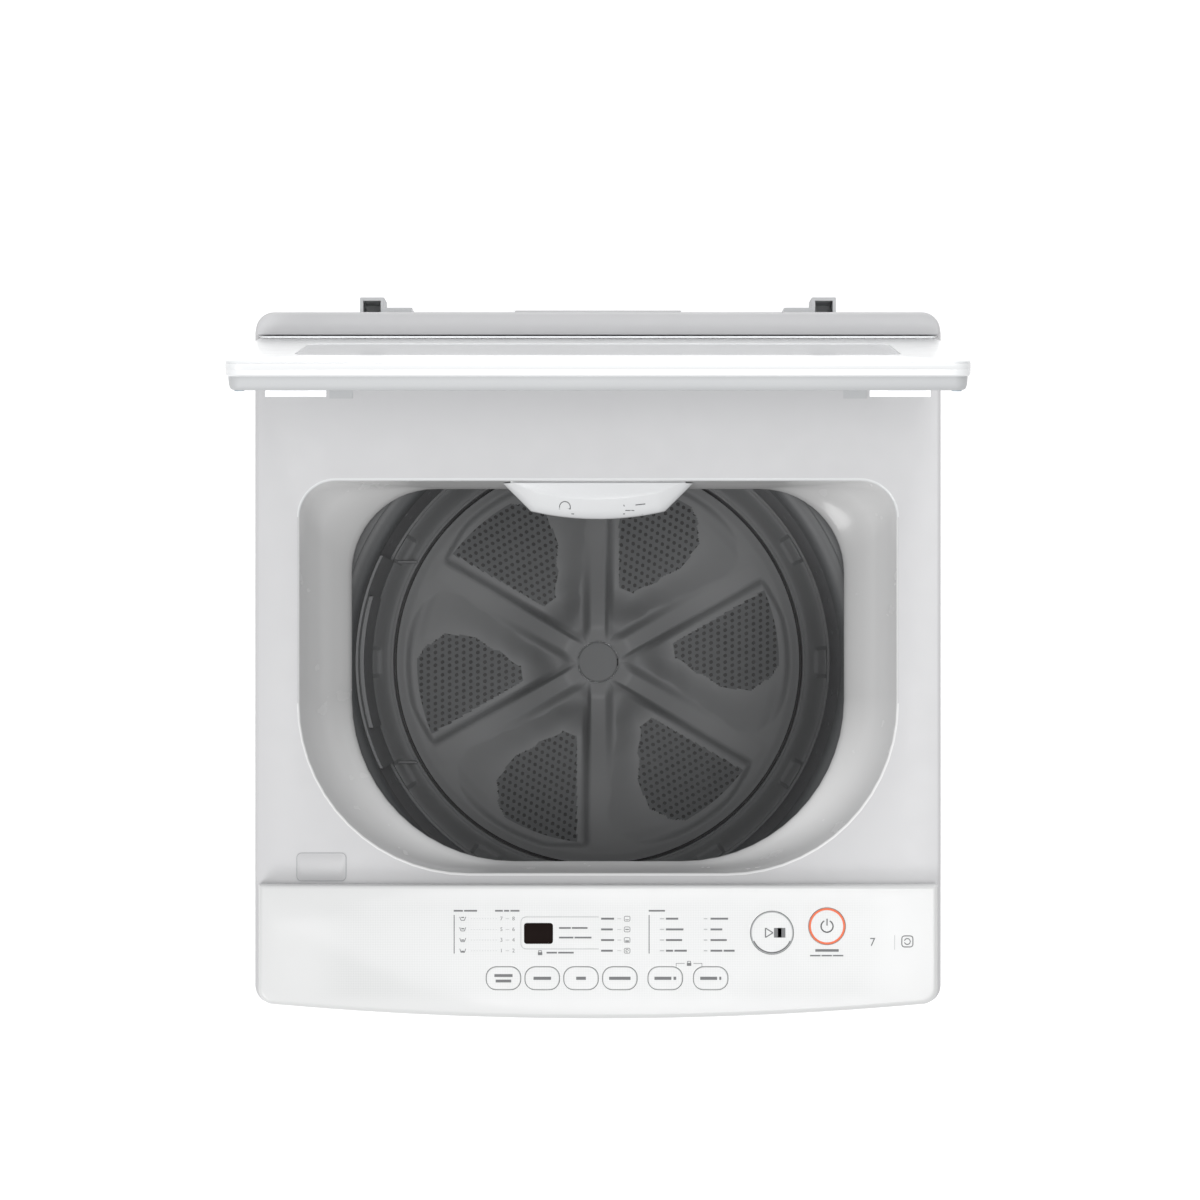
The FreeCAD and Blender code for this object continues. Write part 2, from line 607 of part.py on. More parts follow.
def pill(index, grow, z, height):
    """The outline of a press pad grown by a gap, as a solid."""
    step = " + pill_step - pill_pitch" if index > 3 else ""
    more = " + pill_step - pill_pitch" if index > 4 else ""
    x = f"pill_first + {index} * pill_pitch{step}{more}"
    y = "front_y + pill_row"
    half, deep = f"(pill_length / 2 + {grow})", f"(pill_width / 2 + {grow})"
    return extruded(*rounded(f"({x} - {half})", f"({x} + {half})", f"({y} - {deep})",
                             f"({y} + {deep})", f"({deep} * 0.9)"), z, height)


def disc(name, grow, z, height):
    return rod(f"{name}_x", f"front_y + {name}_row", z, f"{name}_radius + {grow}", height)


PADS = ["soak", "wash", "rinse", "spin", "level", "course", "start", "power"]


def pad_shape(index, grow, z, height):
    if index < 6:
        return pill(index, grow, z, height)
    return disc(PADS[index], grow, z, height)


def window(grow, z, height):
    return box("window_x", "front_y + window_row", z, f"window_width + 2 * {grow}",
               f"window_depth + 2 * {grow}", height)


console = cut(extruded(*console_outline("0"), "deck_height", strip_height),
              extruded(*console_outline("console_wall"), "deck_height - 1",
                       f"{strip_height} + 1 - console_wall"),
              extruded(*console_outline("overlay_margin"), "console_top - overlay_thick",
                       "overlay_thick + 1"),
              window("0", "console_top - 10", 20),
              *[pad_shape(i, "button_gap", "console_top - 10", "20") for i in range(8)])
node("console_housing", console)
overlay = cut(extruded(*console_outline("overlay_margin"), "console_top - overlay_thick",
                       "overlay_thick"), window("0", "console_top - 10", 20),
              *[pad_shape(i, "button_gap", "console_top - 10", "20") for i in range(8)])
node("console_overlay", overlay)
node("display_window", window("0", "console_top - console_wall", "console_wall"))
digits = box("window_x", "front_y + window_row", "console_top - board_drop",
             "window_width + 4", "window_depth + 4", "board_drop - console_wall")
board = box("(start_x + window_x) / 2", "front_y + console_depth / 2 - 2",
            "console_top - board_drop - board_thick", "board_width", "board_depth",
            "board_thick")
standoffs = [rod(f"(start_x + window_x) / 2 + {x} * (board_width / 2 - 4)",
                 f"front_y + console_depth / 2 - 2 + {y} * (board_depth / 2 - 4)",
                 "console_top - board_drop", 3, "board_drop - console_wall")
             for x, y in CORNERS]
node("display_board", join(board, digits, *standoffs))
for index, name in enumerate(PADS):
    top = pad_shape(index, "0", "console_top - button_length",
                    "button_length + button_proud")
    rim = pad_shape(index, "(button_gap + button_rim)", "console_top - console_wall - 2",
                    "2 - screw_gap")
    node(f"button_{name}", join(top, rim))

# ---- lid, drawn shut about its hinge line and stood open ---------------------------


def lid_outline(inset, rear="0"):
    half, a = f"(lid_half - {inset})", f"(lid_corner - {inset})"
    low = f"-(lid_reach - {inset})"
    corners = [(f"-({half} - {a})", low), (f"{half} - {a}", low), (half, f"{low} + {a}"),
               (half, rear), (f"-{half}", rear), (f"-{half}", f"{low} + {a}")]
    return corners, {1: (a, 1), 5: (a, 1)}


def glass_box(grow, foot, top):
    return box(0, "-glass_from - glass_length / 2", foot, f"2 * (glass_half + {grow})",
               f"glass_length + 2 * {grow}", f"{top} - {foot}")


def lid_roll(radius):
    """A quarter roll about the hinge line, behind it and above it."""
    return overlap(rod("-lid_half", 0, 0, radius, "2 * lid_half", "x"),
                   box(0, f"{radius} / 2", 0, "2 * lid_half", radius, radius))


shell_foot = "(lid_rise - lid_shell)"
plate = cut(extruded(*lid_outline("0"), shell_foot, "lid_shell"),
            extruded(*lid_outline("lid_wall", "1"), f"{shell_foot} - 1",
                     "lid_shell + 1 - lid_wall"))
roll = cut(lid_roll("lid_rise"), lid_roll("(lid_rise - lid_wall)"))
shell = cut(join(plate, roll), glass_box("0", "0", "(lid_rise + 5)"))
node("lid_shell", swung(shell))

glass_top = "(lid_rise - lid_wall)"
pane = glass_box("glass_ledge", f"({glass_top} - glass_thick)", glass_top)
node("lid_window", swung(group(pane)))

frame_back = "-(boss_radius + 1)"
frame = cut(extruded(*lid_outline("lid_step", frame_back), "lid_low",
                     f"{shell_foot} - lid_low"),
            glass_box("(glass_ledge + 1)", "(lid_low - 1)", "(lid_rise + 5)"))
floor_room = cut(extruded(*lid_outline("(lid_step + lid_wall)",
                                       "-(boss_radius + 1 + lid_wall)"),
                          "lid_low + lid_wall", "lid_rise"),
                 box(0, "-glass_from - glass_length / 2", "lid_low - 1",
                     "2 * (glass_half + glass_ledge + 1 + lid_wall)",
                     "glass_length + 2 * (glass_ledge + 1 + lid_wall)", "lid_rise"))
frame = cut(frame, floor_room)
lugs, lug_holes = [], []
for side in LEFT_RIGHT:
    at_x = f"{side} * (lug_from + lug_width / 2)"
    lugs.append(box(at_x, "-(boss_radius + 1) / 2", "-lug_drop", "lug_width",
                    "lug_half + boss_radius + 1", "lug_drop + lid_low + 5"))
    lug_holes.append(rod(f"{at_x} - 40", 0, 0, "pin_radius + pin_play", 80, "x"))
node("lid_frame", swung(cut(join(frame, *lugs), *lug_holes)))

bumpers = [rod(f"{side} * bumper_x", "-(lid_reach - bumper_inset)",
               "lid_low - lid_gap + screw_gap", "bumper_radius", "lid_gap - screw_gap")
           for side in LEFT_RIGHT]
node("lid_bumpers", swung(group(*bumpers)))

# ---- detergent drawer --------------------------------------------------------------
front = "drawer_front"
tray = box(0, f"{front} + drawer_length / 2 - 1", "drawer_foot", "2 * drawer_half",
           "drawer_length + 2", "drawer_height")
nose_plan = ([("-nose_half", front), ("-nose_inner", "tub_y + bowl_rear - nose_reach + 5"),
              ("nose_inner", "tub_y + bowl_rear - nose_reach + 5"), ("nose_half", front)],
             {1: ("nose_round * 2.7", 1)})
nose = extruded(*nose_plan, "drawer_foot", "drawer_height")
cell_depth = "(drawer_length + 12)"
cells = [box("-drawer_half / 2 + drawer_wall / 2", f"{front} + {cell_depth} / 2 - 14",
             "drawer_foot + drawer_wall", "drawer_half - 2.5 * drawer_wall", cell_depth,
             "drawer_height"),
         box("drawer_half / 2 + drawer_wall / 2", f"{front} + {cell_depth} / 2 - 14",
             "drawer_foot + 3 * drawer_wall", "drawer_half - 2.5 * drawer_wall",
             cell_depth, "drawer_height")]
node("detergent_drawer", cut(join(tray, nose), *cells))

out = "housing_wall"
housing_foot = "(drawer_foot - drawer_play - housing_wall)"
housing = box(0, "wall_y + (drawer_length - nose_gap) / 2", housing_foot,
              f"2 * ({slide} + {out})", "drawer_length - nose_gap",
              f"{under} - {housing_foot}")
room = box(0, "wall_y + (drawer_length - nose_gap) / 2 - housing_wall",
           "drawer_foot - drawer_play", f"2 * {slide}", "drawer_length - nose_gap",
           f"{under} - drawer_foot + drawer_play + 1")
inlet_hole = rod(f"-({slide} + {out} + 1)", "inlet_turn", "inlet_rise",
                 "hose_radius - hose_wall", "housing_wall + 2", "x")
spout = rod(0, "wall_y + 20", f"{housing_foot} - 6", 12, 12)
node("drawer_housing", cut(join(housing, spout), room, inlet_hole,
                           rod(0, "wall_y + 20", f"{housing_foot} - 8", 9, 14)))

# ---- water inlet, drain outlet and mains entry -------------------------------------
def spigot(x, z, radius, length, behind):
    """A collar through the rear panel, a neck and the spigot that a hose goes on."""
    foot = "(panel_y + collar_length)"
    return (rod(x, f"panel_y - {behind}", z, f"{radius} + collar",
                f"collar_length + {behind}", "y"),
            rod(x, foot, z, f"{radius} - neck", "neck", "y"),
            rod(x, f"{foot} + neck", z, radius, length, "y"))


valve_y = "(panel_y - valve_depth / 2)"
valve = join(box("inlet_x", valve_y, "inlet_z - valve_height / 2", "valve_width",
                 "valve_depth", "valve_height"),
             *spigot("inlet_x", "inlet_z", "inlet_radius", "inlet_length", 0))
node("inlet_valve", cut(valve, rod("inlet_x", "panel_y - 12", "inlet_z", "inlet_bore",
                                   "inlet_length + 30", "y")))


def run(radius, *points):
    """Rods from point to point with a ball at each turn, each run along one axis."""
    parts = []
    for a, b in zip(points, points[1:]):
        axis = next(i for i in range(3) if str(a[i]) != str(b[i]))
        forward = number(b[axis]) > number(a[axis])
        low, high = (a, b) if forward else (b, a)
        parts.append(rod(*low, radius, f"{high[axis]} - ({low[axis]})", "xyz"[axis]))
    for turn in points[1:-1]:
        ball = doc.addObject("Part::Sphere", "ball")
        bind(ball, Radius=radius)
        parts.append(place(ball, *turn))
    return join(*parts)


hose_y = f"({valve_y} + 10)"
hose_z = "inlet_z + valve_height / 2"
mid_z = "(mouth_z - 2)"
path = [("inlet_x", hose_y, hose_z), ("inlet_x", hose_y, mid_z),
        ("inlet_x", "inlet_turn", mid_z), ("inlet_x", "inlet_turn", "inlet_rise"),
        (f"(-({slide} + {out}))", "inlet_turn", "inlet_rise")]
bore_path = [("inlet_x", hose_y, f"{hose_z} - 1")] + path[1:-1] + [
    (f"(-({slide} + {out}) + 1)", "inlet_turn", "inlet_rise")]
node("inlet_hose", cut(run("hose_radius", *path),
                       run("hose_radius - hose_wall", *bore_path)))

outlet = join(*spigot("outlet_x", "outlet_z", "outlet_radius", "outlet_length", 8))
node("drain_outlet", cut(outlet, rod("outlet_x", "panel_y - 10", "outlet_z", "outlet_bore",
                                     "outlet_length + 30", "y")))
gland = rod("gland_x", "panel_y - 5", "gland_z", "gland_radius",
            "gland_length + 5 + 2 * steel", "y")
node("cord_gland", cut(gland, rod("gland_x", "panel_y - 10", "gland_z", "gland_bore",
                                  "gland_length + 30", "y")))

# ---- outer tub ---------------------------------------------------------------------
tub = turned("tub_wall_body", [
    ("tub_hub", "tub_floor"), ("tub_radius - 12", "tub_floor"),
    ("tub_radius", "tub_floor + 12"), ("tub_radius", "tub_top - 8"),
    ("tub_radius + tub_rim", "tub_top - 8"), ("tub_radius + tub_rim", "tub_top"),
    ("tub_radius - tub_wall", "tub_top"),
    ("tub_radius - tub_wall", "tub_floor + 13"),
    ("tub_radius - 13", "tub_floor + tub_floor_thick"),
    ("tub_hub", "tub_floor + tub_floor_thick")])
ears, ear_holes = [], []
for side, end in CORNERS:
    w, far, near = "ear_half", "rod_x", "(tub_radius * 0.6)"
    spots = [(f"{side} * ({far} + {w})", f"tub_y + {end} * (rod_y - {w})"),
             (f"{side} * ({far} - {w})", f"tub_y + {end} * (rod_y + {w})"),
             (f"{side} * ({near} - {w})", f"tub_y + {end} * ({near} + {w})"),
             (f"{side} * ({near} + {w})", f"tub_y + {end} * ({near} - {w})")]
    ears.append(extruded(spots, None, "ear_height - ear_thick / 2", "ear_thick"))
    ears.append(rod(f"{side} * rod_x", f"tub_y + {end} * rod_y",
                    "ear_height - ear_thick / 2", "cup_radius", "ear_thick"))
    ear_holes.append(rod(f"{side} * rod_x", f"tub_y + {end} * rod_y",
                         "ear_height - ear_thick", "rod_radius + rod_play",
                         "2 * ear_thick"))
drain_hole = rod("drain_x", "drain_y", "tub_floor - 1", "drain_radius - 8", "12")
ears_cut = cut(join(*ears), rod(0, "tub_y", "tub_floor", "tub_radius - tub_wall", 300))
node("outer_tub", cut(join(tub, ears_cut), *ear_holes, drain_hole))
lip = turned("tub_cover", [
    ("cover_lip", "tub_top + cover_rise - tub_wall"),
    ("tub_radius", "tub_top + cover_rise - tub_wall"),
    ("tub_radius", "tub_top"), ("tub_radius + tub_rim", "tub_top"),
    ("tub_radius + tub_rim", "tub_top + cover_rise"),
    ("cover_lip", "tub_top + cover_rise")])
node("tub_cover", lip)
drain = join(rod("drain_x", "drain_y", "tub_floor - drain_height", "drain_radius",
                 "drain_height"),
             box("drain_x - drain_radius - 22", "drain_y", "tub_floor - 46", 48, 36, 46),
             rod("drain_x", "drain_y", "tub_floor - drain_height / 2", "outlet_radius",
                 "drain_radius + 18", "y"))
node("drain_valve", cut(drain,
                        rod("drain_x", "drain_y", "tub_floor - drain_height + 3",
                            "drain_radius - 3", "drain_height"),
                        rod("drain_x", "drain_y", "tub_floor - drain_height / 2",
                            "outlet_bore", "drain_radius + 20", "y")))

# ---- suspension --------------------------------------------------------------------
seat_foot = "(spring_foot - seat_thick)"
rods, cups, coils = [], [], []
for side, end in CORNERS:
    at = (f"{side} * rod_x", f"tub_y + {end} * rod_y")
    ball = doc.addObject("Part::Sphere", "ball")
    bind(ball, Radius="ball_radius")
    place(ball, *at, "bracket_z + bracket_steel")
    knob = overlap(ball, box(*at, "bracket_z + bracket_steel", 40, 40, 40))
    rods.append(join(rod(*at, f"{seat_foot} - 10", "rod_radius",
                         f"bracket_z + bracket_steel - {seat_foot} + 10"),
                     knob, rod(*at, seat_foot, "seat_radius", "seat_thick")))
    cup = cut(rod(*at, "cup_top - cup_height", "cup_radius", "cup_height"),
              rod(*at, "cup_top - cup_height - 1", "cup_radius - cup_wall",
                  "cup_height + 1 - cup_wall"),
              rod(*at, "cup_top - cup_height", "rod_radius + rod_play", "cup_height + 2"))
    cups.append(cup)
    helix = doc.addObject("Part::Helix", "helix")
    bind(helix, Radius="spring_radius",
         Height="spring_length - 2 * (spring_wire + 0.5)",
         Pitch="(spring_length - 2 * (spring_wire + 0.5)) / spring_turns")
    wire = doc.addObject("Part::RegularPolygon", "wire")
    wire.Polygon = 12
    bind(wire, Circumradius="spring_wire")
    wire.Placement = Placement(Vector(number("spring_radius"), 0, 0),
                               Rotation(Vector(1, 0, 0), 90))
    bind(wire, Placement__Base__x="spring_radius")
    coil = doc.addObject("Part::Sweep", "coil")
    coil.Sections = [wire]
    coil.Spine = (helix, [])
    coil.Solid = True
    coil.Frenet = True
    coils.append(place(coil, *at, "spring_foot + spring_wire + 0.5"))
node("suspension_rods", group(*rods))
node("suspension_cups", group(*cups))
node("suspension_springs", group(*coils))

# ---- basket ------------------------------------------------------------------------
drum_shell = turned("drum_wall_body", [
    ("drum_radius - drum_wall", "base_edge + base_rise - drum_lap"),
    ("drum_radius", "base_edge + base_rise - drum_lap"), ("drum_radius", "ring_foot"),
    ("drum_radius - drum_wall", "ring_foot")])
piercing = [radial(15 * column + 7.5 * (row % 2), f"base_edge + base_rise + 34 + {row} * 50",
                   "hole_radius", "drum_radius + 5")
            for row in range(7) for column in range(24)]
node("basket_drum", cut(drum_shell, *piercing))

c = "ring_chamfer"
ring_solid = turned("balancer_outside", [
    (f"ring_inner + {c}", "ring_foot"), (f"ring_outer - {c}", "ring_foot"),
    ("ring_outer", f"ring_foot + {c}"), ("ring_outer", f"ring_top - {c}"),
    (f"ring_outer - {c}", "ring_top"), (f"ring_inner + {c}", "ring_top"),
    ("ring_inner", f"ring_top - {c}"), ("ring_inner", f"ring_foot + {c}")])
w = "ring_wall"
ring_hollow = turned("balancer_inside", [
    (f"ring_inner + {c}", f"ring_foot + {w}"), (f"ring_outer - {c}", f"ring_foot + {w}"),
    (f"ring_outer - {w}", f"ring_foot + {c}"), (f"ring_outer - {w}", f"ring_top - {c}"),
    (f"ring_outer - {c}", f"ring_top - {w}"), (f"ring_inner + {c}", f"ring_top - {w}"),
    (f"ring_inner + {w}", f"ring_top - {c}"), (f"ring_inner + {w}", f"ring_foot + {c}")])
node("balancer_ring", cut(ring_solid, ring_hollow))

dish = "(pulsator_radius + edge_gap)"
inside_r = "(drum_radius - drum_wall)"
base = turned("basket_base_body", [
    ("spin_radius + 2", "base_floor"), (f"{inside_r} - 6", "base_floor"),
    (inside_r, "base_floor + 12"), (inside_r, "base_edge + base_rise"),
    (f"{inside_r} - base_rim", "base_edge + base_rise"), (dish, "base_edge + 1"),
    (dish, "base_floor + base_thick"), ("spin_radius + 2", "base_floor + base_thick")])
notches = []
for i in range(12):
    spot = rod(f"({inside_r} - 2) * cos({30 * i})", f"tub_y + ({inside_r} - 2) * sin({30 * i})",
               "base_edge + base_rise - 7", "notch_radius", 20)
    notches.append(spot)
keep_in = rod(0, "tub_y", "base_edge", f"{inside_r} - 1.5", 40)
node("basket_base", cut(base, overlap(group(*notches), keep_in)))
node("basket_spider", turned("basket_spider", [
    ("spin_radius", "base_floor - hub_length - spider_thick"),
    ("hub_radius", "base_floor - hub_length - spider_thick"),
    ("hub_radius + 4", "base_floor - spider_thick"),
    ("spider_radius", "base_floor - spider_thick"), ("spider_radius", "base_floor"),
    ("spin_radius", "base_floor")]))
node("spin_tube", ring(0, "tub_y", "spin_foot", "spin_radius", "shaft_radius + shaft_play",
                       "base_floor + base_thick - spin_foot - 1"))
channel_out = "(drum_radius - drum_wall - channel_gap)"
channel_in = f"({channel_out} - filter_wall)"
bag_foot = "(filter_foot + (filter_height - bag_height) / 2)"


def on_the_left(z, half, height):
    """Room for a piece that lies along the left of the drum."""
    return box("-drum_radius", "tub_y", z, "drum_radius", f"2 * {half}", height)


channel = overlap(ring(0, "tub_y", "filter_foot", channel_out, channel_in, "filter_height"),
                  on_the_left("filter_foot", "filter_half", "filter_height"))
node("water_channel", cut(channel, on_the_left(bag_foot, "bag_half", "bag_height")))
bag_z = f"({bag_foot} + bag_play)"
bag_rise = "(bag_height - 2 * bag_play)"
node("lint_filter", overlap(
    ring(0, "tub_y", bag_z, channel_out, f"({channel_out} - bag_thick)", bag_rise),
    on_the_left(bag_z, "(bag_half - bag_play)", bag_rise)))

# ---- pulsator and its shaft ---------------------------------------------------------
plain = turned("pulsator_body", [
    ("shaft_radius", "base_floor + base_thick + 1"),
    ("hub_boss", "base_floor + base_thick + 1"), ("hub_boss", "hub_z - 13"),
    ("hub_foot - 4", "pulsator_z"), ("pulsator_radius", "pulsator_z"),
    ("pulsator_radius", "base_edge"), ("hub_foot", "base_edge"), ("hub_top", "hub_z"),
    ("cap_radius + cap_gap", "hub_z"), ("cap_radius + cap_gap", "hub_z - cap_thick"),
    ("shaft_radius", "hub_z - cap_thick")])
vanes = []
for i in range(6):
    half, far = "vane_width / 2", "(pulsator_radius - 4)"
    vane = doc.addObject("Part::Extrusion", "vane")
    vane.Base = sketch_at([("vane_from", f"-{half}"), (far, f"-{half} * 0.7"),
                           (far, f"{half} * 0.7"), ("vane_from", half)], None,
                          "base_edge - 2", Rotation(Vector(0, 0, 1), 60 * i + 30), 0, "tub_y")
    vane.DirMode = "Custom"
    vane.Dir = Vector(0, 0, 1)
    vane.Solid = True
    bind(vane, LengthFwd="hub_rise")
    vanes.append(vane)
slope = cone(0, "tub_y", "base_edge - 2", "pulsator_radius - 4", "vane_from",
             "hub_rise - 2")
vane_set = overlap(group(*vanes), slope)
node("pulsator", join(plain, vane_set))
node("pulsator_cap", rod(0, "tub_y", "hub_z - cap_thick", "cap_radius", "cap_thick"))
node("pulsator_shaft", rod(0, "tub_y", "shaft_foot", "shaft_radius",
                           "hub_z - cap_thick - shaft_foot"))

# ---- drive -------------------------------------------------------------------------
bear_in = "(spin_radius + shaft_play)"
node("bearing_housing", turned("bearing_housing", [
    ("bearing_outer", "tub_floor - 8"), ("flange_radius", "tub_floor - 8"),
    ("flange_radius", "tub_floor"), ("tub_hub", "tub_floor"),
    ("tub_hub", "tub_floor + tub_floor_thick"),
    ("bearing_outer", "tub_floor + tub_floor_thick")]))
node("bearing", ring(0, "tub_y", "tub_floor - 8", "bearing_outer", bear_in,
                     "bearing_height - 2"))
node("carrier_frame", cut(
    join(box("motor_x / 2", "tub_y", "case_top", "motor_x + 150", "150", "carrier_steel"),
         *[rod(x, f"tub_y + {y} * 62", "case_top", "post_radius", "case_gap")
           for x in ("-56", "70", "motor_x + 40") for y in LEFT_RIGHT],
         *[rod("motor_x", f"tub_y + {y} * 48", "motor_foot + motor_height", "post_radius",
               "case_top - motor_foot - motor_height") for y in LEFT_RIGHT]),
    rod(0, "tub_y", "case_top - 1", "bearing_outer", "carrier_steel + 2")))
case = turned("gearbox_case_body", [
    ("input_radius + input_play", "case_foot"), ("case_radius - 8", "case_foot"),
    ("case_radius", "case_foot + 8"), ("case_radius", "case_top"),
    (bear_in, "case_top"), (bear_in, "case_top - case_wall"),
    ("case_radius - case_wall", "case_top - case_wall"),
    ("case_radius - case_wall", "case_foot + 10"),
    ("case_radius - 10", "case_foot + case_wall"),
    ("input_radius + input_play", "case_foot + case_wall")])
node("gearbox_case", case)
node("input_shaft", rod(0, "tub_y", "pulley_z", "input_radius",
                        "shaft_foot - 20 - pulley_z"))
groove_low = "(pulley_height - belt_height) / 2"
for label, x, radius, bore in (("drive_pulley", "0", "pulley_radius", "input_radius"),
                               ("motor_pulley", "motor_x", "motor_pulley",
                                "motor_shaft")):
    wheel = turned(label, [
        (bore, "pulley_z"), (radius, "pulley_z"),
        (radius, f"pulley_z + {groove_low}"),
        (f"{radius} - groove", f"pulley_z + {groove_low}"),
        (f"{radius} - groove", f"pulley_z + pulley_height - {groove_low}"),
        (radius, f"pulley_z + pulley_height - {groove_low}"),
        (radius, "pulley_z + pulley_height"), (bore, "pulley_z + pulley_height")])
    place(wheel, x, "tub_y", 0)
    node(label, wheel)


def belt_loop(grow):
    """The outline of a band round both pulleys."""
    big = f"(pulley_radius - groove + {grow})"
    small = f"(motor_pulley - groove + {grow})"
    lean = "((pulley_radius - motor_pulley) / motor_x)"
    rise = f"sqrt(1 - {lean} ^ 2)"
    corners = [(f"{big} * {lean}", f"tub_y - {big} * {rise}"),
               (f"motor_x + {small} * {lean}", f"tub_y - {small} * {rise}"),
               (f"motor_x + {small} * {lean}", f"tub_y + {small} * {rise}"),
               (f"{big} * {lean}", f"tub_y + {big} * {rise}"),
               (f"-{big}", "tub_y")]
    return corners, {1: (small, 1), 3: (big, 1), 4: (big, 1)}


belt_z = f"pulley_z + {groove_low} + 0.4"
node("drive_belt", cut(extruded(*belt_loop("(0.3 + belt_thick)"), belt_z,
                                "belt_height - 0.8"),
                       extruded(*belt_loop("0.3"), f"{belt_z} - 1", "belt_height + 2")))
motor = cut(rod("motor_x", "tub_y", "motor_foot", "motor_radius", "motor_height"),
            rod("motor_x", "tub_y", "motor_foot + motor_wall", "rotor_radius + rotor_gap",
                "motor_height - 2 * motor_wall"),
            rod("motor_x", "tub_y", "motor_foot - 1", "motor_shaft + input_play",
                "motor_wall + 2"))
node("motor_body", motor)
node("motor_rotor", join(rod("motor_x", "tub_y", "motor_foot + motor_wall + 2",
                             "rotor_radius", "motor_height - 2 * motor_wall - 4"),
                         rod("motor_x", "tub_y", "pulley_z", "motor_shaft",
                             "motor_foot + motor_wall + 10 - pulley_z")))

# ---- check everything, then write --------------------------------------------------
doc.recompute()
faults = [f"{o.Label}: {o.State}" for o in doc.Objects
          if {"Invalid", "Error"} & set(o.State)]
for obj in nodes:
    if obj.Shape.isNull() or not obj.Shape.isValid() or not obj.Shape.Solids:
        faults.append(f"{obj.Label}: no valid solid")
if faults:
    raise SystemExit("not written:\n" + "\n".join(faults))
os.makedirs("parts", exist_ok=True)
for obj in nodes:
    obj.Shape.exportStep(f"parts/{obj.Label}.step")
    size = obj.Shape.BoundBox
    print(f"{obj.Label:18s} solids {len(obj.Shape.Solids):2d}  "
          f"x {size.XMin:7.1f} {size.XMax:7.1f}  y {size.YMin:7.1f} {size.YMax:7.1f}  "
          f"z {size.ZMin:7.1f} {size.ZMax:7.1f}  cm3 {obj.Shape.Volume / 1000:8.2f}")
print(len(nodes), "sub-parts")
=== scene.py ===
import json
import math

import bmesh
import bpy
from mathutils import Matrix, Vector


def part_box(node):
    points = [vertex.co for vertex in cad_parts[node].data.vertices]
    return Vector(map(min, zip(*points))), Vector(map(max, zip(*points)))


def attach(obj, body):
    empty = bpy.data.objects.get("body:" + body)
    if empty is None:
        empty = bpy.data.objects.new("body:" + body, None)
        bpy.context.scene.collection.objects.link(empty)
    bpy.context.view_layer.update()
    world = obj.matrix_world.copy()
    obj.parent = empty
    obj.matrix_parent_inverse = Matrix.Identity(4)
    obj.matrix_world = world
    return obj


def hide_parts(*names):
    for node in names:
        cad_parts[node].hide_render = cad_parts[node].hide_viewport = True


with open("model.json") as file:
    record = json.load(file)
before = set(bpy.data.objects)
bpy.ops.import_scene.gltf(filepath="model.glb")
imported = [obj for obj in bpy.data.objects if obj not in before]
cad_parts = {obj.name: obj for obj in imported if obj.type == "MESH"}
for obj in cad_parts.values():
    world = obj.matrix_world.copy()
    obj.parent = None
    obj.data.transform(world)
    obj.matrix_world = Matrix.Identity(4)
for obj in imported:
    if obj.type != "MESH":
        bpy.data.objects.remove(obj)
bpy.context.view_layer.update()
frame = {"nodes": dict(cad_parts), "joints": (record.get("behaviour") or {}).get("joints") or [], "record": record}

# ---- sizes, in millimetres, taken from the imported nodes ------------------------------
MM = 1000.0


def span(node):
    """The lowest and highest corner of a node, in millimetres."""
    low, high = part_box(node)
    return [c * MM for c in low], [c * MM for c in high]


cover_low, cover_high = span("top_cover")
console_low, console_high = span("console_housing")
cap_low = span("pulsator_cap")[0]
disc_low, disc_high = span("pulsator")
ring_low, ring_high = span("balancer_ring")
drawer_low, drawer_high = span("detergent_drawer")

HALF = cover_high[0]
DECK = console_low[2]
TOP = console_high[2]
REAR = cover_high[1]
FRONT = cover_low[1]
SKIRT = cover_low[2]
TUB_Y = (disc_low[1] + disc_high[1]) / 2
HINGE = next(j for j in frame["joints"] if j["name"] == "lid_hinge")["pos_m"]
HINGE_Y, HINGE_Z = HINGE[1] * MM, HINGE[2] * MM
LID_OPEN = math.radians(84.1)
CONSOLE_REAR = console_high[1]
BULGE = 11.0
SHOULDER = FRONT + BULGE
STRIP_Y = REAR - 16.4
MOUTH_Z = DECK - 48


# ---- making pieces -------------------------------------------------------------------
def piece(bm, name, material, body, replaces=(), sharp=35):
    """Turns a bmesh in millimetres into a finished object that rides on a body."""
    bmesh.ops.scale(bm, vec=(0.001,) * 3, verts=bm.verts)
    mesh = bpy.data.meshes.new(name)
    bm.to_mesh(mesh)
    bm.free()
    for face in mesh.polygons:
        face.use_smooth = True
    mesh.set_sharp_from_angle(angle=math.radians(sharp))
    obj = bpy.data.objects.new(name, mesh)
    bpy.context.scene.collection.objects.link(obj)
    materials = material if isinstance(material, list) else [material]
    for one in materials:
        mesh.materials.append(one)
    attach(obj, body)
    if replaces:
        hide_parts(*replaces)
    return obj


def outward(bm):
    bmesh.ops.remove_doubles(bm, verts=bm.verts, dist=0.001)
    bmesh.ops.recalc_face_normals(bm, faces=bm.faces)


def arc(x, y, radius, start, end, steps):
    """Points on an arc, angles in degrees."""
    turns = [math.radians(start + (end - start) * i / steps) for i in range(steps + 1)]
    return [(x + radius * math.cos(t), y + radius * math.sin(t)) for t in turns]


def round_box(x0, x1, y0, y1, radius, steps=6):
    """A rounded rectangle, run to the left. radius is one number or four, from x0 y0."""
    r = radius if isinstance(radius, (list, tuple)) else [radius] * 4
    return (arc(x0 + r[0], y0 + r[0], r[0], 180, 270, steps)
            + arc(x1 - r[1], y0 + r[1], r[1], 270, 360, steps)
            + arc(x1 - r[2], y1 - r[2], r[2], 0, 90, steps)
            + arc(x0 + r[3], y1 - r[3], r[3], 90, 180, steps))


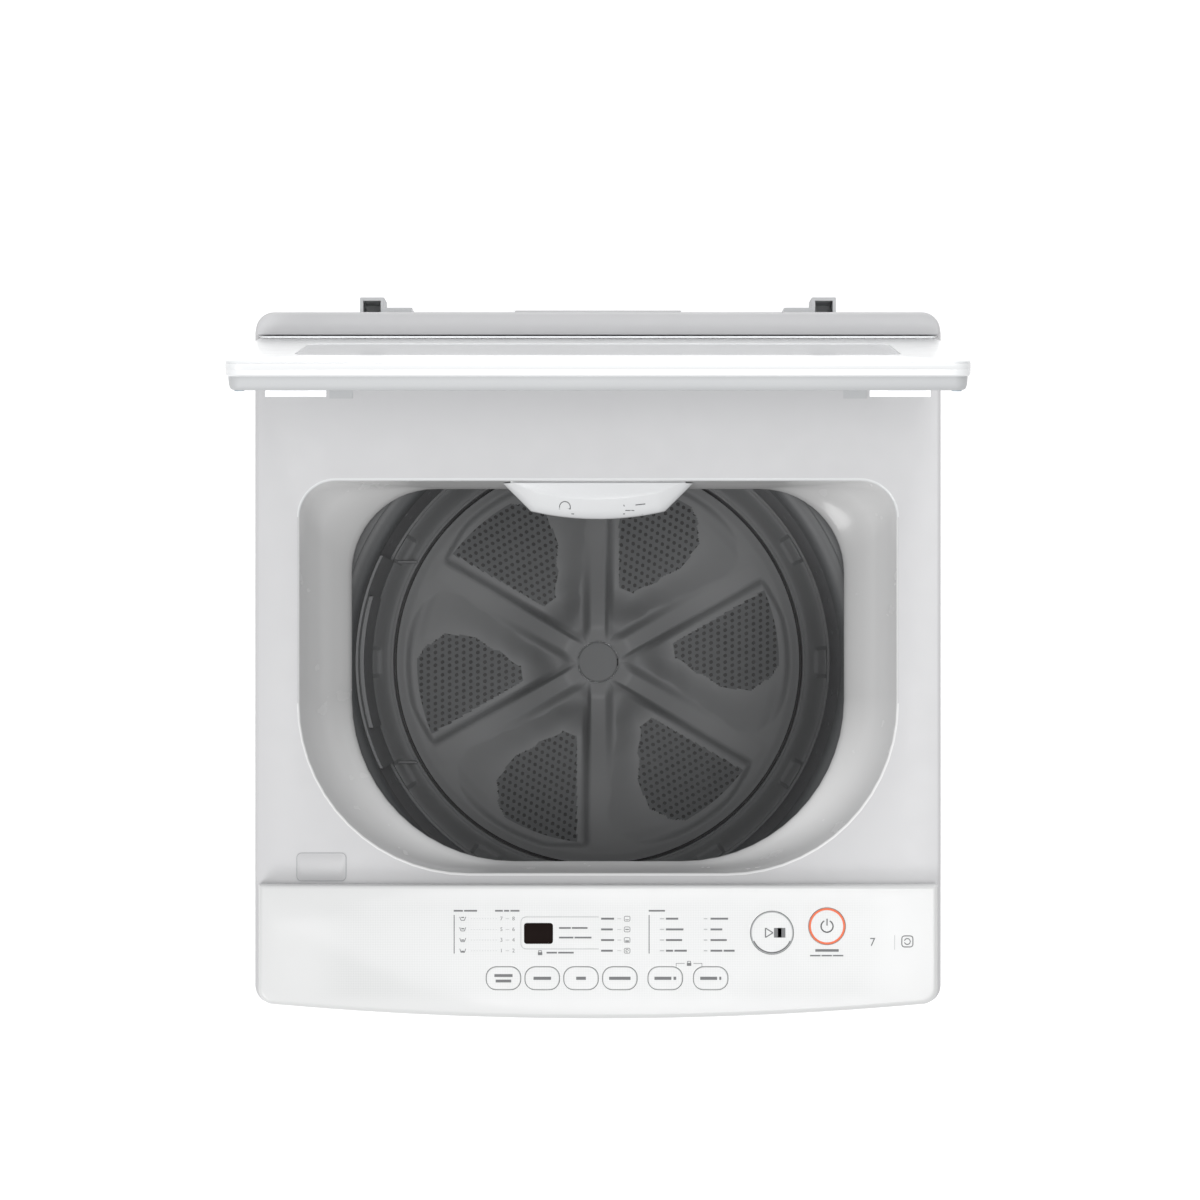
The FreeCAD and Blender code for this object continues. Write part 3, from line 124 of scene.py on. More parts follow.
def bulged(half, low, high, corner, bulge, rear_corner=0.0, steps=8, front_steps=24):
    """An outline whose front edge bows forward by bulge, run to the left."""
    chord = half - corner
    radius = (chord ** 2 + bulge ** 2) / (2 * bulge)
    lean = math.degrees(math.asin(chord / radius))
    points = arc(0, low - bulge + radius, radius, 270 - lean, 270 + lean, front_steps)
    points += arc(half - corner, low + corner, corner, 270, 360, steps)[1:]
    if rear_corner:
        points += arc(half - rear_corner, high - rear_corner, rear_corner, 0, 90, steps)
        points += arc(-half + rear_corner, high - rear_corner, rear_corner, 90, 180, steps)
    else:
        points += [(half, high), (-half, high)]
    points += arc(-half + corner, low + corner, corner, 180, 270, steps)[:-1]
    return points


def loop(bm, points, z):
    """A closed loop of edges at height z."""
    verts = [bm.verts.new((x, y, z)) for x, y in points]
    return [bm.edges.new((a, b)) for a, b in zip(verts, verts[1:] + verts[:1])]


def chain(edges):
    """The verts of a closed loop of edges, in order."""
    verts = [edges[0].verts[0], edges[0].verts[1]]
    for edge in edges[1:-1]:
        verts.append(edge.other_vert(verts[-1]))
    return verts


def wall(bm, edges, steps):
    """Carries a loop of edges through outlines: each step is (points, z)."""
    for points, z in steps:
        ring = chain(edges)
        made = bmesh.ops.extrude_edge_only(bm, edges=edges)["geom"]
        fresh = [v for v in made if isinstance(v, bmesh.types.BMVert)]
        partner = {}
        for v in fresh:
            for e in v.link_edges:
                other = e.other_vert(v)
                if other not in fresh:
                    partner[other] = v
        order = [partner[v] for v in ring]
        for v, (x, y) in zip(order, points):
            v.co = (x, y, z)
        edges = [bm.edges.get((a, b)) for a, b in zip(order, order[1:] + order[:1])]
    return edges


def cap(bm, edges):
    bmesh.ops.triangle_fill(bm, edges=edges, use_beauty=True)


def plate_with_holes(bm, outer, holes, z):
    """A flat face at z with holes. Returns the outer loop and the loops of the holes."""
    rim = loop(bm, outer, z)
    inner = [loop(bm, h, z) for h in holes]
    cap(bm, rim + [e for h in inner for e in h])
    return rim, inner


def lathe(bm, profile, steps=180, y=TUB_Y, closed=True):
    """Spins (radius, z) points about the tub's axis."""
    verts = [bm.verts.new((r, y, z)) for r, z in profile]
    pairs = list(zip(verts, verts[1:] + verts[:1])) if closed else list(zip(verts, verts[1:]))
    edges = [bm.edges.new(p) for p in pairs]
    bmesh.ops.spin(bm, geom=verts + edges, cent=(0, y, 0), axis=(0, 0, 1),
                   angle=math.tau, steps=steps, use_merge=True)
    outward(bm)


def block(bm, x, y, z, bevel=0.0, segments=2):
    """A box between (low, high) pairs, with rounded edges."""
    made = bmesh.ops.create_cube(bm, size=1)["verts"]
    bmesh.ops.scale(bm, vec=(x[1] - x[0], y[1] - y[0], z[1] - z[0]), verts=made)
    bmesh.ops.translate(bm, vec=((x[0] + x[1]) / 2, (y[0] + y[1]) / 2, (z[0] + z[1]) / 2),
                        verts=made)
    if bevel:
        edges = list({e for v in made for e in v.link_edges})
        bmesh.ops.bevel(bm, geom=edges, offset=bevel, segments=segments, profile=0.5,
                        affect="EDGES", material=-1)


def smooth(t):
    t = min(max(t, 0.0), 1.0)
    return t * t * (3 - 2 * t)


def mix(a, b, t):
    return a + (b - a) * t


# ---- materials -----------------------------------------------------------------------
class Shader:
    """A Principled surface with helpers for its pattern nodes."""

    def __init__(self, name, rough=0.4, metal=0.0, coat=0.0, specular=0.5, alpha=1.0):
        self.material = bpy.data.materials.new(name)
        self.material.use_nodes = True
        self.tree = self.material.node_tree
        self.surface = self.tree.nodes["Principled BSDF"]
        self.surface.inputs["Metallic"].default_value = metal
        self.surface.inputs["Roughness"].default_value = rough
        self.surface.inputs["Coat Weight"].default_value = coat
        self.surface.inputs["Coat Roughness"].default_value = 0.08
        self.surface.inputs["Specular IOR Level"].default_value = specular
        self.surface.inputs["Alpha"].default_value = alpha
        self.place = self.node("ShaderNodeTexCoord").outputs["Object"]

    def node(self, kind, **values):
        made = self.tree.nodes.new(kind)
        for key, value in values.items():
            setattr(made, key, value)
        return made

    def link(self, out, into):
        self.tree.links.new(out, into)

    def noise(self, scale, detail=3.0, place=None, stretch=None):
        made = self.node("ShaderNodeTexNoise")
        made.inputs["Scale"].default_value = scale
        made.inputs["Detail"].default_value = detail
        at = place or self.place
        if stretch:
            turn = self.node("ShaderNodeMapping")
            turn.inputs["Scale"].default_value = stretch
            self.link(at, turn.inputs["Vector"])
            at = turn.outputs["Vector"]
        self.link(at, made.inputs["Vector"])
        return made.outputs["Fac"]

    def ramp(self, fac, stops):
        made = self.node("ShaderNodeValToRGB")
        while len(made.color_ramp.elements) < len(stops):
            made.color_ramp.elements.new(0.5)
        for element, (at, colour) in zip(made.color_ramp.elements, stops):
            element.position = at
            element.color = (*colour, 1.0)
        self.link(fac, made.inputs["Fac"])
        return made.outputs["Color"]

    def math(self, kind, a, b=None, c=None):
        made = self.node("ShaderNodeMath", operation=kind)
        for socket, value in zip(made.inputs, (a, b, c)):
            if value is None:
                continue
            if isinstance(value, (int, float)):
                socket.default_value = value
            else:
                self.link(value, socket)
        return made.outputs[0]

    def band(self, value, low, high, soft):
        """1 where value is between low and high, with soft ends."""
        up = self.node("ShaderNodeMapRange", interpolation_type="SMOOTHSTEP")
        self.link(value, up.inputs["Value"])
        up.inputs["From Min"].default_value = low - soft
        up.inputs["From Max"].default_value = low + soft
        down = self.node("ShaderNodeMapRange", interpolation_type="SMOOTHSTEP")
        self.link(value, down.inputs["Value"])
        down.inputs["From Min"].default_value = high - soft
        down.inputs["From Max"].default_value = high + soft
        down.inputs["To Min"].default_value = 1.0
        down.inputs["To Max"].default_value = 0.0
        return self.math("MULTIPLY", up.outputs[0], down.outputs[0])

    def axes(self, place=None):
        made = self.node("ShaderNodeSeparateXYZ")
        self.link(place or self.place, made.inputs[0])
        return made.outputs

    def blend(self, fac, a, b):
        made = self.node("ShaderNodeMix", data_type="RGBA")
        self.link(fac, made.inputs[0])
        for socket, value in ((made.inputs[6], a), (made.inputs[7], b)):
            if isinstance(value, (tuple, list)):
                socket.default_value = (*value, 1.0)
            else:
                self.link(value, socket)
        return made.outputs[2]

    def bump(self, height, distance, strength=1.0):
        made = self.node("ShaderNodeBump")
        made.inputs["Distance"].default_value = distance
        made.inputs["Strength"].default_value = strength
        self.link(height, made.inputs["Height"])
        self.link(made.outputs["Normal"], self.surface.inputs["Normal"])

    def colour(self, out):
        self.link(out, self.surface.inputs["Base Color"])

    def roughness(self, fac, low, high):
        made = self.node("ShaderNodeMapRange")
        self.link(fac, made.inputs["Value"])
        made.inputs["To Min"].default_value = low
        made.inputs["To Max"].default_value = high
        self.link(made.outputs[0], self.surface.inputs["Roughness"])


def tone(colour, amount):
    return tuple(min(max(c * (1 + amount), 0.0), 1.0) for c in colour)


def moulded(name, colour, rough, vary=0.03, grain=0.00004, scale=900.0, coat=0.0,
            specular=0.5):
    """Moulded plastic: faint cloudy colour, fine grain, uneven gloss."""
    s = Shader(name, rough, coat=coat, specular=specular)
    clouds = s.noise(9.0, 2.0)
    s.colour(s.ramp(clouds, [(0.3, tone(colour, -vary)), (0.7, tone(colour, vary))]))
    s.roughness(s.noise(60.0, 2.0), rough * 0.88, rough * 1.12)
    if grain:
        s.bump(s.noise(scale, 2.0), grain)
    return s.material


def metal_sheet(name, colour, rough, stretch=(1, 1, 40), grain=0.00003, scale=60.0,
                metal=1.0):
    """Drawn or brushed metal with streaks along one way."""
    s = Shader(name, rough, metal=metal)
    streaks = s.noise(scale, 4.0, stretch=stretch)
    s.colour(s.ramp(streaks, [(0.3, tone(colour, -0.12)), (0.7, tone(colour, 0.1))]))
    s.roughness(streaks, rough * 0.8, rough * 1.25)
    s.bump(streaks, grain)
    return s.material


def rubbery(name, colour):
    s = Shader(name, 0.75, specular=0.3)
    s.colour(s.ramp(s.noise(40.0), [(0.3, tone(colour, -0.15)), (0.7, tone(colour, 0.2))]))
    s.roughness(s.noise(200.0), 0.65, 0.85)
    s.bump(s.noise(1400.0, 3.0), 0.0001)
    return s.material


WHITE = (0.80, 0.81, 0.82)
enamel = moulded("white enamel", WHITE, 0.28, 0.012, 0.00003, 300.0, coat=0.4)
gloss_white = moulded("glossy white plastic", WHITE, 0.24, 0.012, 0.00001, 900.0, coat=0.25)
deck_white = moulded("deck plastic", (0.62, 0.62, 0.63), 0.38, 0.012, 0.00003, 1200.0)
satin_white = moulded("satin white plastic", (0.70, 0.71, 0.72), 0.45, 0.015)
base_grey = moulded("base plastic", (0.34, 0.35, 0.36), 0.55, 0.03)
wash_grey = moulded("pulsator plastic", (0.36, 0.365, 0.37), 0.5, 0.02, 0.00001, 1500.0,
                    specular=0.2)
mesh_grey = moulded("strainer plastic", (0.21, 0.215, 0.22), 0.5, 0.02, 0.00001, 1500.0,
                    specular=0.2)
balance_grey = moulded("balance ring plastic", (0.10, 0.103, 0.106), 0.45, 0.03)
ring_grey = moulded("basket ring plastic", (0.34, 0.345, 0.35), 0.45, 0.03, specular=0.3)
hook_grey = moulded("hook plastic", (0.52, 0.53, 0.54), 0.45, 0.02)
# The rear strip takes the deck's plastic painted darker: painted shade for the strip behind the open lid.
strip_painted_shade = moulded("rear strip plastic with painted shade", (0.56, 0.56, 0.57), 0.38, 0.012, 0.00003, 1200.0)
trough_painted_glow = moulded("hinge trough plastic with painted glow", WHITE, 0.4, 0.012)
# The hinge trough's plastic glows: painted light that fills the shade in the crevice between the rear strip and
# the lid's roll.
trough_glow = trough_painted_glow.node_tree.nodes["Principled BSDF"].inputs
trough_glow["Emission Color"].default_value = (1, 1, 1, 1)
trough_glow["Emission Strength"].default_value = 0.55
hub_grey = moulded("hub cap plastic", (0.29, 0.295, 0.30), 0.5, 0.02, 0.00001, 1500.0,
                   specular=0.2)
tab_grey = moulded("hinge cap plastic", (0.55, 0.56, 0.57), 0.45, 0.02)
tub_white = moulded("tub plastic", (0.52, 0.53, 0.53), 0.5, 0.04)
jet = moulded("black plastic", (0.012, 0.012, 0.013), 0.45, 0.2)
smoke = moulded("smoked window", (0.011, 0.006, 0.005), 0.5, 0.1, 0.0, specular=0.05)
ink = moulded("grey print", (0.16, 0.165, 0.17), 0.5, 0.05, 0.0)
pale_ink = moulded("pale print", (0.42, 0.43, 0.44), 0.5, 0.05, 0.0)
orange = moulded("orange ring", (0.80, 0.13, 0.03), 0.4, 0.05, 0.0)
pale_blue = rubbery("bumper rubber", (0.45, 0.52, 0.58))
black_rubber = rubbery("black rubber", (0.02, 0.02, 0.02))
zinc = metal_sheet("zinc plate", (0.55, 0.56, 0.58), 0.42, (1, 1, 1), 0.00002, 30.0)
drum_steel = metal_sheet("drum steel", (0.36, 0.36, 0.37), 0.55, (60, 60, 1), metal=0.5)
liner_white = moulded("lid liner plastic", (0.52, 0.53, 0.54), 0.45, 0.015)
shaft_steel = metal_sheet("ground steel", (0.6, 0.6, 0.62), 0.25, (1, 1, 30))
alloy = metal_sheet("cast alloy", (0.5, 0.5, 0.52), 0.5, (1, 1, 1), 0.0001, 200.0)
motor_paint = moulded("motor enamel", (0.07, 0.07, 0.075), 0.4, 0.1, 0.0001, 400.0)
green_board = moulded("circuit laminate", (0.02, 0.12, 0.05), 0.4, 0.2, 0.00005, 700.0)


def console_film():
    """White film with a fine slanted dot screen that fades out near its edges."""
    s = Shader("console film", 0.3, coat=0.2)
    x, y, z = s.axes()
    scale = 2 * math.pi / 0.0026
    a = s.math("SINE", s.math("MULTIPLY", s.math("ADD", x, y), scale))
    b = s.math("SINE", s.math("MULTIPLY", s.math("SUBTRACT", x, y), scale))
    dots = s.math("MULTIPLY_ADD", s.math("MULTIPLY", a, b), 0.5, 0.5)
    area = s.math("MULTIPLY", s.band(x, -0.205, 0.212, 0.022), s.band(y, -0.262, -0.187, 0.007))
    s.colour(s.blend(s.math("MULTIPLY", dots, area), (0.70, 0.705, 0.705), (0.60, 0.61, 0.608)))
    s.roughness(s.noise(60.0), 0.26, 0.34)
    s.bump(s.noise(900.0, 2.0), 0.00001)
    return s.material


def lid_glass():
    """White printed glass with a screen of grey dots that thin out towards the hinge."""
    s = Shader("printed lid glass", 0.12, coat=0.3)
    turn = s.node("ShaderNodeMapping", vector_type="TEXTURE")
    turn.inputs["Location"].default_value = (0, HINGE_Y / MM, HINGE_Z / MM)
    turn.inputs["Rotation"].default_value = (-LID_OPEN, 0, 0)
    s.link(s.place, turn.inputs["Vector"])
    x, y, z = s.axes(turn.outputs["Vector"])
    scale = 2 * math.pi / 0.0058
    a = s.math("SINE", s.math("MULTIPLY", x, scale))
    b = s.math("SINE", s.math("MULTIPLY", y, scale))
    dots = s.math("MULTIPLY_ADD", s.math("MULTIPLY", a, b), 0.5, 0.5)
    fade = s.node("ShaderNodeMapRange", interpolation_type="SMOOTHSTEP")
    s.link(y, fade.inputs["Value"])
    fade.inputs["From Min"].default_value = -0.13
    fade.inputs["From Max"].default_value = -0.27
    amount = s.math("MULTIPLY", s.math("POWER", dots, 0.6), fade.outputs[0])
    s.colour(s.blend(amount, WHITE, (0.34, 0.35, 0.36)))
    s.roughness(s.noise(40.0), 0.10, 0.15)
    return s.material


def bowl_plastic():
    """The deck's plastic, with painted shade and reflection: its colour darkens towards the mouth for the dark of
    the basket, and its front wall is painted lighter.
    """
    s = Shader("bowl plastic with painted shade and light", 0.25, coat=0.3)
    x, y, z = s.axes()
    # Painted shade: the colour darkens towards the mouth, standing for the basket's dark reflection and occlusion.
    depth = s.node("ShaderNodeMapRange")
    s.link(z, depth.inputs["Value"])
    depth.inputs["From Min"].default_value = MOUTH_Z / MM
    depth.inputs["From Max"].default_value = DECK / MM
    near = s.ramp(depth.outputs[0], [(0.0, (0.42,) * 3), (0.35, (0.64,) * 3), (1.0, (0.84,) * 3)])
    # Painted light: the bowl's front wall, which faces away from the lamps, is painted lighter.
    front = s.node("ShaderNodeMapRange")
    s.link(y, front.inputs["Value"])
    front.inputs["From Min"].default_value = -0.03
    front.inputs["From Max"].default_value = -0.15
    s.colour(s.blend(front.outputs[0], near, (0.93, 0.93, 0.93)))
    s.roughness(s.noise(50.0), 0.22, 0.30)
    return s.material


film = console_film()
glass = lid_glass()
bowl_painted_shade_and_light = bowl_plastic()

# ---- camera, floor and light ---------------------------------------------------------
camera = bpy.data.objects.new("camera", bpy.data.cameras.new("camera"))
bpy.context.scene.collection.objects.link(camera)
camera.location = (0, TUB_Y / MM, DECK / MM + 4.05)
camera.data.lens = 157.26
camera.data.sensor_width = 36.0
camera.data.shift_x = 0.0017
camera.data.shift_y = 0.0517
camera.data.clip_end = 50.0
bpy.context.scene.camera = camera


def area_light(name, place, aim, size, watts):
    lamp = bpy.data.objects.new(name, bpy.data.lights.new(name, "AREA"))
    lamp.data.energy = watts
    lamp.data.size = size
    lamp.location = place
    lamp.rotation_mode = "QUATERNION"
    lamp.rotation_quaternion = (Vector(aim) - Vector(place)).to_track_quat("-Z", "Y")
    bpy.context.scene.collection.objects.link(lamp)


area_light("overhead", (0.3, -0.3, 6.0), (0, 0, 0.9), 1.8, 78)
area_light("front", (-1.7, -1.6, 3.4), (0, 0, 0.9), 1.4, 34)
area_light("rear", (0.4, 3.2, 3.4), (0, 0.2, 1.0), 1.8, 60)
sky = bpy.data.worlds.new("sky")
sky.use_nodes = True
sky.node_tree.nodes["Background"].inputs["Color"].default_value = (1, 1, 1, 1)
sky.node_tree.nodes["Background"].inputs["Strength"].default_value = 0.5
bpy.context.scene.world = sky
bpy.context.scene.view_settings.view_transform = "Standard"

bm = bmesh.new()
bmesh.ops.create_grid(bm, x_segments=2, y_segments=2, size=20.0)
floor_mesh = bpy.data.meshes.new("floor")
bm.to_mesh(floor_mesh)
bm.free()
floor = bpy.data.objects.new("floor", floor_mesh)
floor_paint = moulded("floor", (0.96, 0.96, 0.96), 0.6, 0.004, 0.0)
floor_glow = floor_paint.node_tree.nodes["Principled BSDF"].inputs
floor_glow["Emission Color"].default_value = (1, 1, 1, 1)
floor_glow["Emission Strength"].default_value = 0.3
floor_mesh.materials.append(floor_paint)
bpy.context.scene.collection.objects.link(floor)


# ---- top cover -----------------------------------------------------------------------
def bowl_loop(t, grow=0.0):
    """The bowl's outline: t is 0 at the deck and 1 at its mouth."""
    half = mix(230.5, 193, t) + grow
    rear = TUB_Y + mix(140, 136, t) + grow
    front = TUB_Y - mix(163, 156.4, t) - grow
    a, b = mix(28, 66, t) + grow, mix(131, 127, t) + grow
    return round_box(-half, half, front, rear, (b, b, a, a), 14)


def trough_loop():
    """The slot in the deck that the lid's hinge side turns in."""
    back, front, slot = HINGE_Y + 25.8, HINGE_Y - 14, HINGE_Y - 21
    points = [(-262, front), (-257, front), (-257, slot), (-210, slot), (-210, front),
              (210, front), (210, slot), (257, slot), (257, front), (262, front),
              (262, back), (-262, back)]
    return points


def cover_ring(inset):
    return bulged(HALF - inset, SHOULDER + inset, REAR - inset, 14 - inset * 0.8, BULGE,
                  15 - inset * 0.8)


def top_cover():
    bm = bmesh.new()
    rim, (bowl, trough) = plate_with_holes(bm, cover_ring(3), [bowl_loop(0, 2), trough_loop()],
                                           DECK)
    wall(bm, rim, [(cover_ring(3 - 3 * math.sin(a)), DECK - 3 + 3 * math.cos(a))
                   for a in [math.pi / 8 * i for i in (1, 2, 3, 4)]]
         + [(cover_ring(0), SKIRT + 2), (cover_ring(0.6), SKIRT), (cover_ring(3), SKIRT),
            (cover_ring(3), DECK - 8)])
    lip = [(bowl_loop(0, 2 - 2 * math.sin(a)), DECK - 2 + 2 * math.cos(a))
           for a in [math.pi / 6 * i for i in (1, 2, 3)]]
    funnel = [(0.05, 7), (0.12, 14), (0.22, 21), (0.34, 28), (0.48, 34), (0.64, 39.5),
              (0.80, 43.5), (0.92, 46), (1.0, 48.5)]
    path = [(bowl_loop(t), DECK - d) for t, d in funnel]
    mouth = [(bowl_loop(1, -0.7), DECK - 50), (bowl_loop(1, -0.4), DECK - 52),
             (bowl_loop(1, 0), MOUTH_Z - 16), (bowl_loop(1, 2.5), MOUTH_Z - 16),
             (bowl_loop(1, 2.5), MOUTH_Z - 4), (bowl_loop(0.7, 3), DECK - 46),
             (bowl_loop(0.2, 3), DECK - 26), (bowl_loop(0.0, 3), DECK - 4)]
    wall(bm, bowl, lip + path + mouth)
    floor_edges = wall(bm, trough, [(trough_loop(), DECK - 1), (trough_loop(), DECK - 28.8)])
    cap(bm, floor_edges)
    outward(bm)
    for face in bm.faces:
        middle = face.calc_center_median()
        inside = abs(middle.x) < 232 and -168 < middle.y - TUB_Y < 142
        if inside and middle.z < DECK - 0.05:
            # The bowl's rear lip takes the glossy white instead of the bowl's painted shade: a painted highlight
            # along its rear edge.
            lip = middle.z > DECK - 2.5 and middle.y > TUB_Y + 100
            face.material_index = 2 if lip else 1
        # The hinge trough's faces take the glowing plastic: painted light in a shaded crevice.
        if middle.y > TUB_Y + 150 and SKIRT + 3 < middle.z < DECK - 0.5:
            if abs(middle.x) < HALF - 3 and middle.y < REAR - 4:
                face.material_index = 3
    return piece(bm, "top_cover_skin", [deck_white, bowl_painted_shade_and_light, gloss_white, trough_painted_glow],
                 "chassis", ["top_cover"])


def rear_strip():
    bm = bmesh.new()

    def ring(inset):
        x, y0, y1 = HALF - 2 - inset, STRIP_Y - 1 + inset * 0.3, REAR - inset
        return round_box(-x, x, y0, y1, (1.5, 1.5, 14 - inset, 14 - inset), 8)
    edges = loop(bm, ring(2), TOP)
    cap(bm, edges)
    wall(bm, edges, [(ring(2 - 2 * math.sin(a)), TOP - 2 + 2 * math.cos(a))
                     for a in (math.pi / 8, math.pi / 4, math.pi / 2)]
         + [(ring(0), DECK - 1)])
    block(bm, (-64, 64), (REAR - 1, REAR + 1.4), (TOP - 8, TOP - 3.5), 0.5)
    outward(bm)
    return piece(bm, "rear_strip", strip_painted_shade, "chassis")


top_cover()
rear_strip()


# ---- console -------------------------------------------------------------------------
DISCS = {"start": (133.7, FRONT + 67, 16.5), "power": (176.0, FRONT + 72, 14.1)}
WINDOW = (-45.7, FRONT + 66.4, 22.3, 16.1)


def pad_outline(x, y, grow=0.0, steps=10):
    half, deep = 26.5 / 2 + grow, 17.6 / 2 + grow
    return round_box(x - half, x + half, y - deep, y + deep, deep * 0.9, steps)


def disc_outline(x, y, radius, steps=48):
    return arc(x, y, radius, 0, 360 - 360 / steps, steps - 1)


def console_ring(inset):
    return bulged(console_high[0] - inset, SHOULDER + 0.8 + inset, CONSOLE_REAR - inset,
                  12 - inset * 0.6, BULGE)


def pad_centre(name):
    low, high = span("button_" + name)
    return (low[0] + high[0]) / 2, (low[1] + high[1]) / 2


PILLS = ["soak", "wash", "rinse", "spin", "level", "course"]


def console():
    bm = bmesh.new()
    wx, wy, ww, wd = WINDOW
    holes = [pad_outline(*pad_centre(n), 0.35) for n in PILLS]
    holes += [disc_outline(*pad_centre(n), DISCS[n][2] + 0.35) for n in DISCS]
    holes += [round_box(wx - ww / 2, wx + ww / 2, wy - wd / 2, wy + wd / 2, 2.2, 5)]
    rim, inner = plate_with_holes(bm, console_ring(3.5), holes, TOP)
    wall(bm, rim, [(console_ring(3.5 - 3.5 * math.sin(a)), TOP - 3.5 + 3.5 * math.cos(a))
                   for a in [math.pi / 12 * i for i in range(1, 7)]]
         + [(console_ring(0), DECK + 1.2), (console_ring(0.8), DECK + 0.8),
            (console_ring(0.8), DECK)])
    for edges, points in zip(inner, holes):
        wall(bm, edges, [(points, TOP - 3)])
    outward(bm)
    piece(bm, "console_skin", film, "chassis",
          ["console_housing", "console_overlay"])


def pad_cap(name, outline, top):
    """A press pad with a soft edge and a shallow dome."""
    bm = bmesh.new()
    edges = loop(bm, outline(0), TOP - 7.5)
    steps = [(outline(0), top - 0.6), (outline(-0.25), top - 0.2), (outline(-0.7), top)]
    cap(bm, wall(bm, edges, steps))
    outward(bm)
    return bm


def buttons():
    for name in PILLS:
        x, y = pad_centre(name)
        bm = pad_cap(name, lambda g: pad_outline(x, y, g), TOP + 0.3)
        piece(bm, "pad_" + name, film, "button_" + name,
              ["button_" + name], 12)
        bm = bmesh.new()
        ring_outline(bm, pad_outline(x, y, -0.05), pad_outline(x, y, -0.75), TOP + 0.12)
        piece(bm, "pad_line_" + name, pale_ink, "button_" + name)
    for name, (cx, cy, radius) in DISCS.items():
        x, y = pad_centre(name)
        bm = pad_cap(name, lambda g: disc_outline(x, y, radius + g), TOP + 0.5)
        piece(bm, "disc_" + name, film, "button_" + name,
              ["button_" + name], 12)
        bm = bmesh.new()
        width = 1.7 if name == "power" else 1.0
        ring_outline(bm, disc_outline(x, y, radius - 0.1), disc_outline(x, y, radius - width),
                     TOP + 0.62)
        piece(bm, "disc_line_" + name, orange if name == "power" else pale_ink,
              "button_" + name)


def ring_outline(bm, outer, inner, z, thick=0.25):
    """A thin printed line between two outlines."""
    a = loop(bm, outer, z)
    b = loop(bm, inner, z)
    bmesh.ops.bridge_loops(bm, edges=a + b)
    wall(bm, a, [(outer, z - thick)])
    wall(bm, b, [(inner, z - thick)])
    outward(bm)


console()
buttons()
wx, wy, ww, wd = WINDOW
bm = bmesh.new()
edges = loop(bm, round_box(wx - ww / 2, wx + ww / 2, wy - wd / 2, wy + wd / 2, 2.2, 5), TOP - 3)
inner = round_box(wx - ww / 2 + 0.4, wx + ww / 2 - 0.4, wy - wd / 2 + 0.4, wy + wd / 2 - 0.4, 2, 5)
cap(bm, wall(bm, edges, [(round_box(wx - ww / 2, wx + ww / 2, wy - wd / 2, wy + wd / 2, 2.2, 5),
                          TOP - 0.2), (inner, TOP)]))
outward(bm)
piece(bm, "display_lens", smoke, "chassis", ["display_window"])

# ---- legends: generic marks in place of words ----------------------------------------
def stroke(bm, points, width=0.5, z=TOP, layer=0, closed=False):
    """A line of print through points, a hair proud of the surface."""
    ends = points[1:] + points[:1] if closed else points[1:]
    for (ax, ay), (bx, by) in zip(points, ends):
        made = bmesh.ops.create_cube(bm, size=1)["verts"]
        length = math.hypot(bx - ax, by - ay) + (0 if closed else width * 0.5)
        turn = (Matrix.Translation(((ax + bx) / 2, (ay + by) / 2, z))
                @ Matrix.Rotation(math.atan2(by - ay, bx - ax), 4, "Z")
                @ Matrix.Diagonal((length, width, 0.16, 1)))
        bmesh.ops.transform(bm, matrix=turn, verts=made)
        for face in {f for v in made for f in v.link_faces}:
            face.material_index = layer


def bars(bm, x, y, lengths, height=1.5, z=TOP, layer=0):
    """A line of short bars from x, where words would stand."""
    for length in lengths:
        stroke(bm, [(x + height / 4, y), (x + length - height / 4, y)], height, z, layer)
        x += length + height * 0.7


def numeral(bm, text, x, y, size):
    """A dial number as a flat mesh."""
    curve = bpy.data.curves.new("numeral", "FONT")
    curve.body = text
    curve.size = size
    curve.align_x = "CENTER"
    curve.align_y = "CENTER"
    curve.extrude = 0.08
    holder = bpy.data.objects.new("numeral", curve)
    mesh = bpy.data.meshes.new_from_object(holder)
    there = set(bm.verts)
    bm.from_mesh(mesh)
    fresh = [v for v in bm.verts if v not in there]
    bmesh.ops.translate(bm, vec=(x, y, TOP), verts=fresh)
    bpy.data.objects.remove(holder)
    bpy.data.curves.remove(curve)
    bpy.data.meshes.remove(mesh)


ROW_PITCH = 8.2
ROWS = [FRONT + 77.7 - ROW_PITCH * i for i in range(4)]
HEAD = FRONT + 83.8


def level_marks(bm):
    """Scoop icons, dotted leaders and the water levels."""
    bars(bm, -110.8, HEAD, [7, 10], 1.3)
    bars(bm, -79.1, HEAD, [6, 4, 7], 1.3)
    stroke(bm, [(-110.5, HEAD - 3.4), (-110.5, ROWS[3] - 2)], 0.7)
    for i, y in enumerate(ROWS):
        stroke(bm, [(-106.2, y + 1.4), (-105.2, y - 1.2), (-102.6, y - 1.2),
                    (-101.6, y + 1.4)], 0.55)
        bars(bm, -105.0, y + (1.0, 0.5, 0.0, -0.4)[i], [2.2], 0.9)
        for dot in range(10):
            bars(bm, -97.5 + 2.1 * dot, y, [0.8], 0.35, layer=1)
        numeral(bm, str(7 - 2 * i), -74.2, y, 4.2)
        bars(bm, -71.0, y, [2.8], 0.45, layer=1)
        numeral(bm, str(8 - 2 * i), -64.9, y, 4.2)


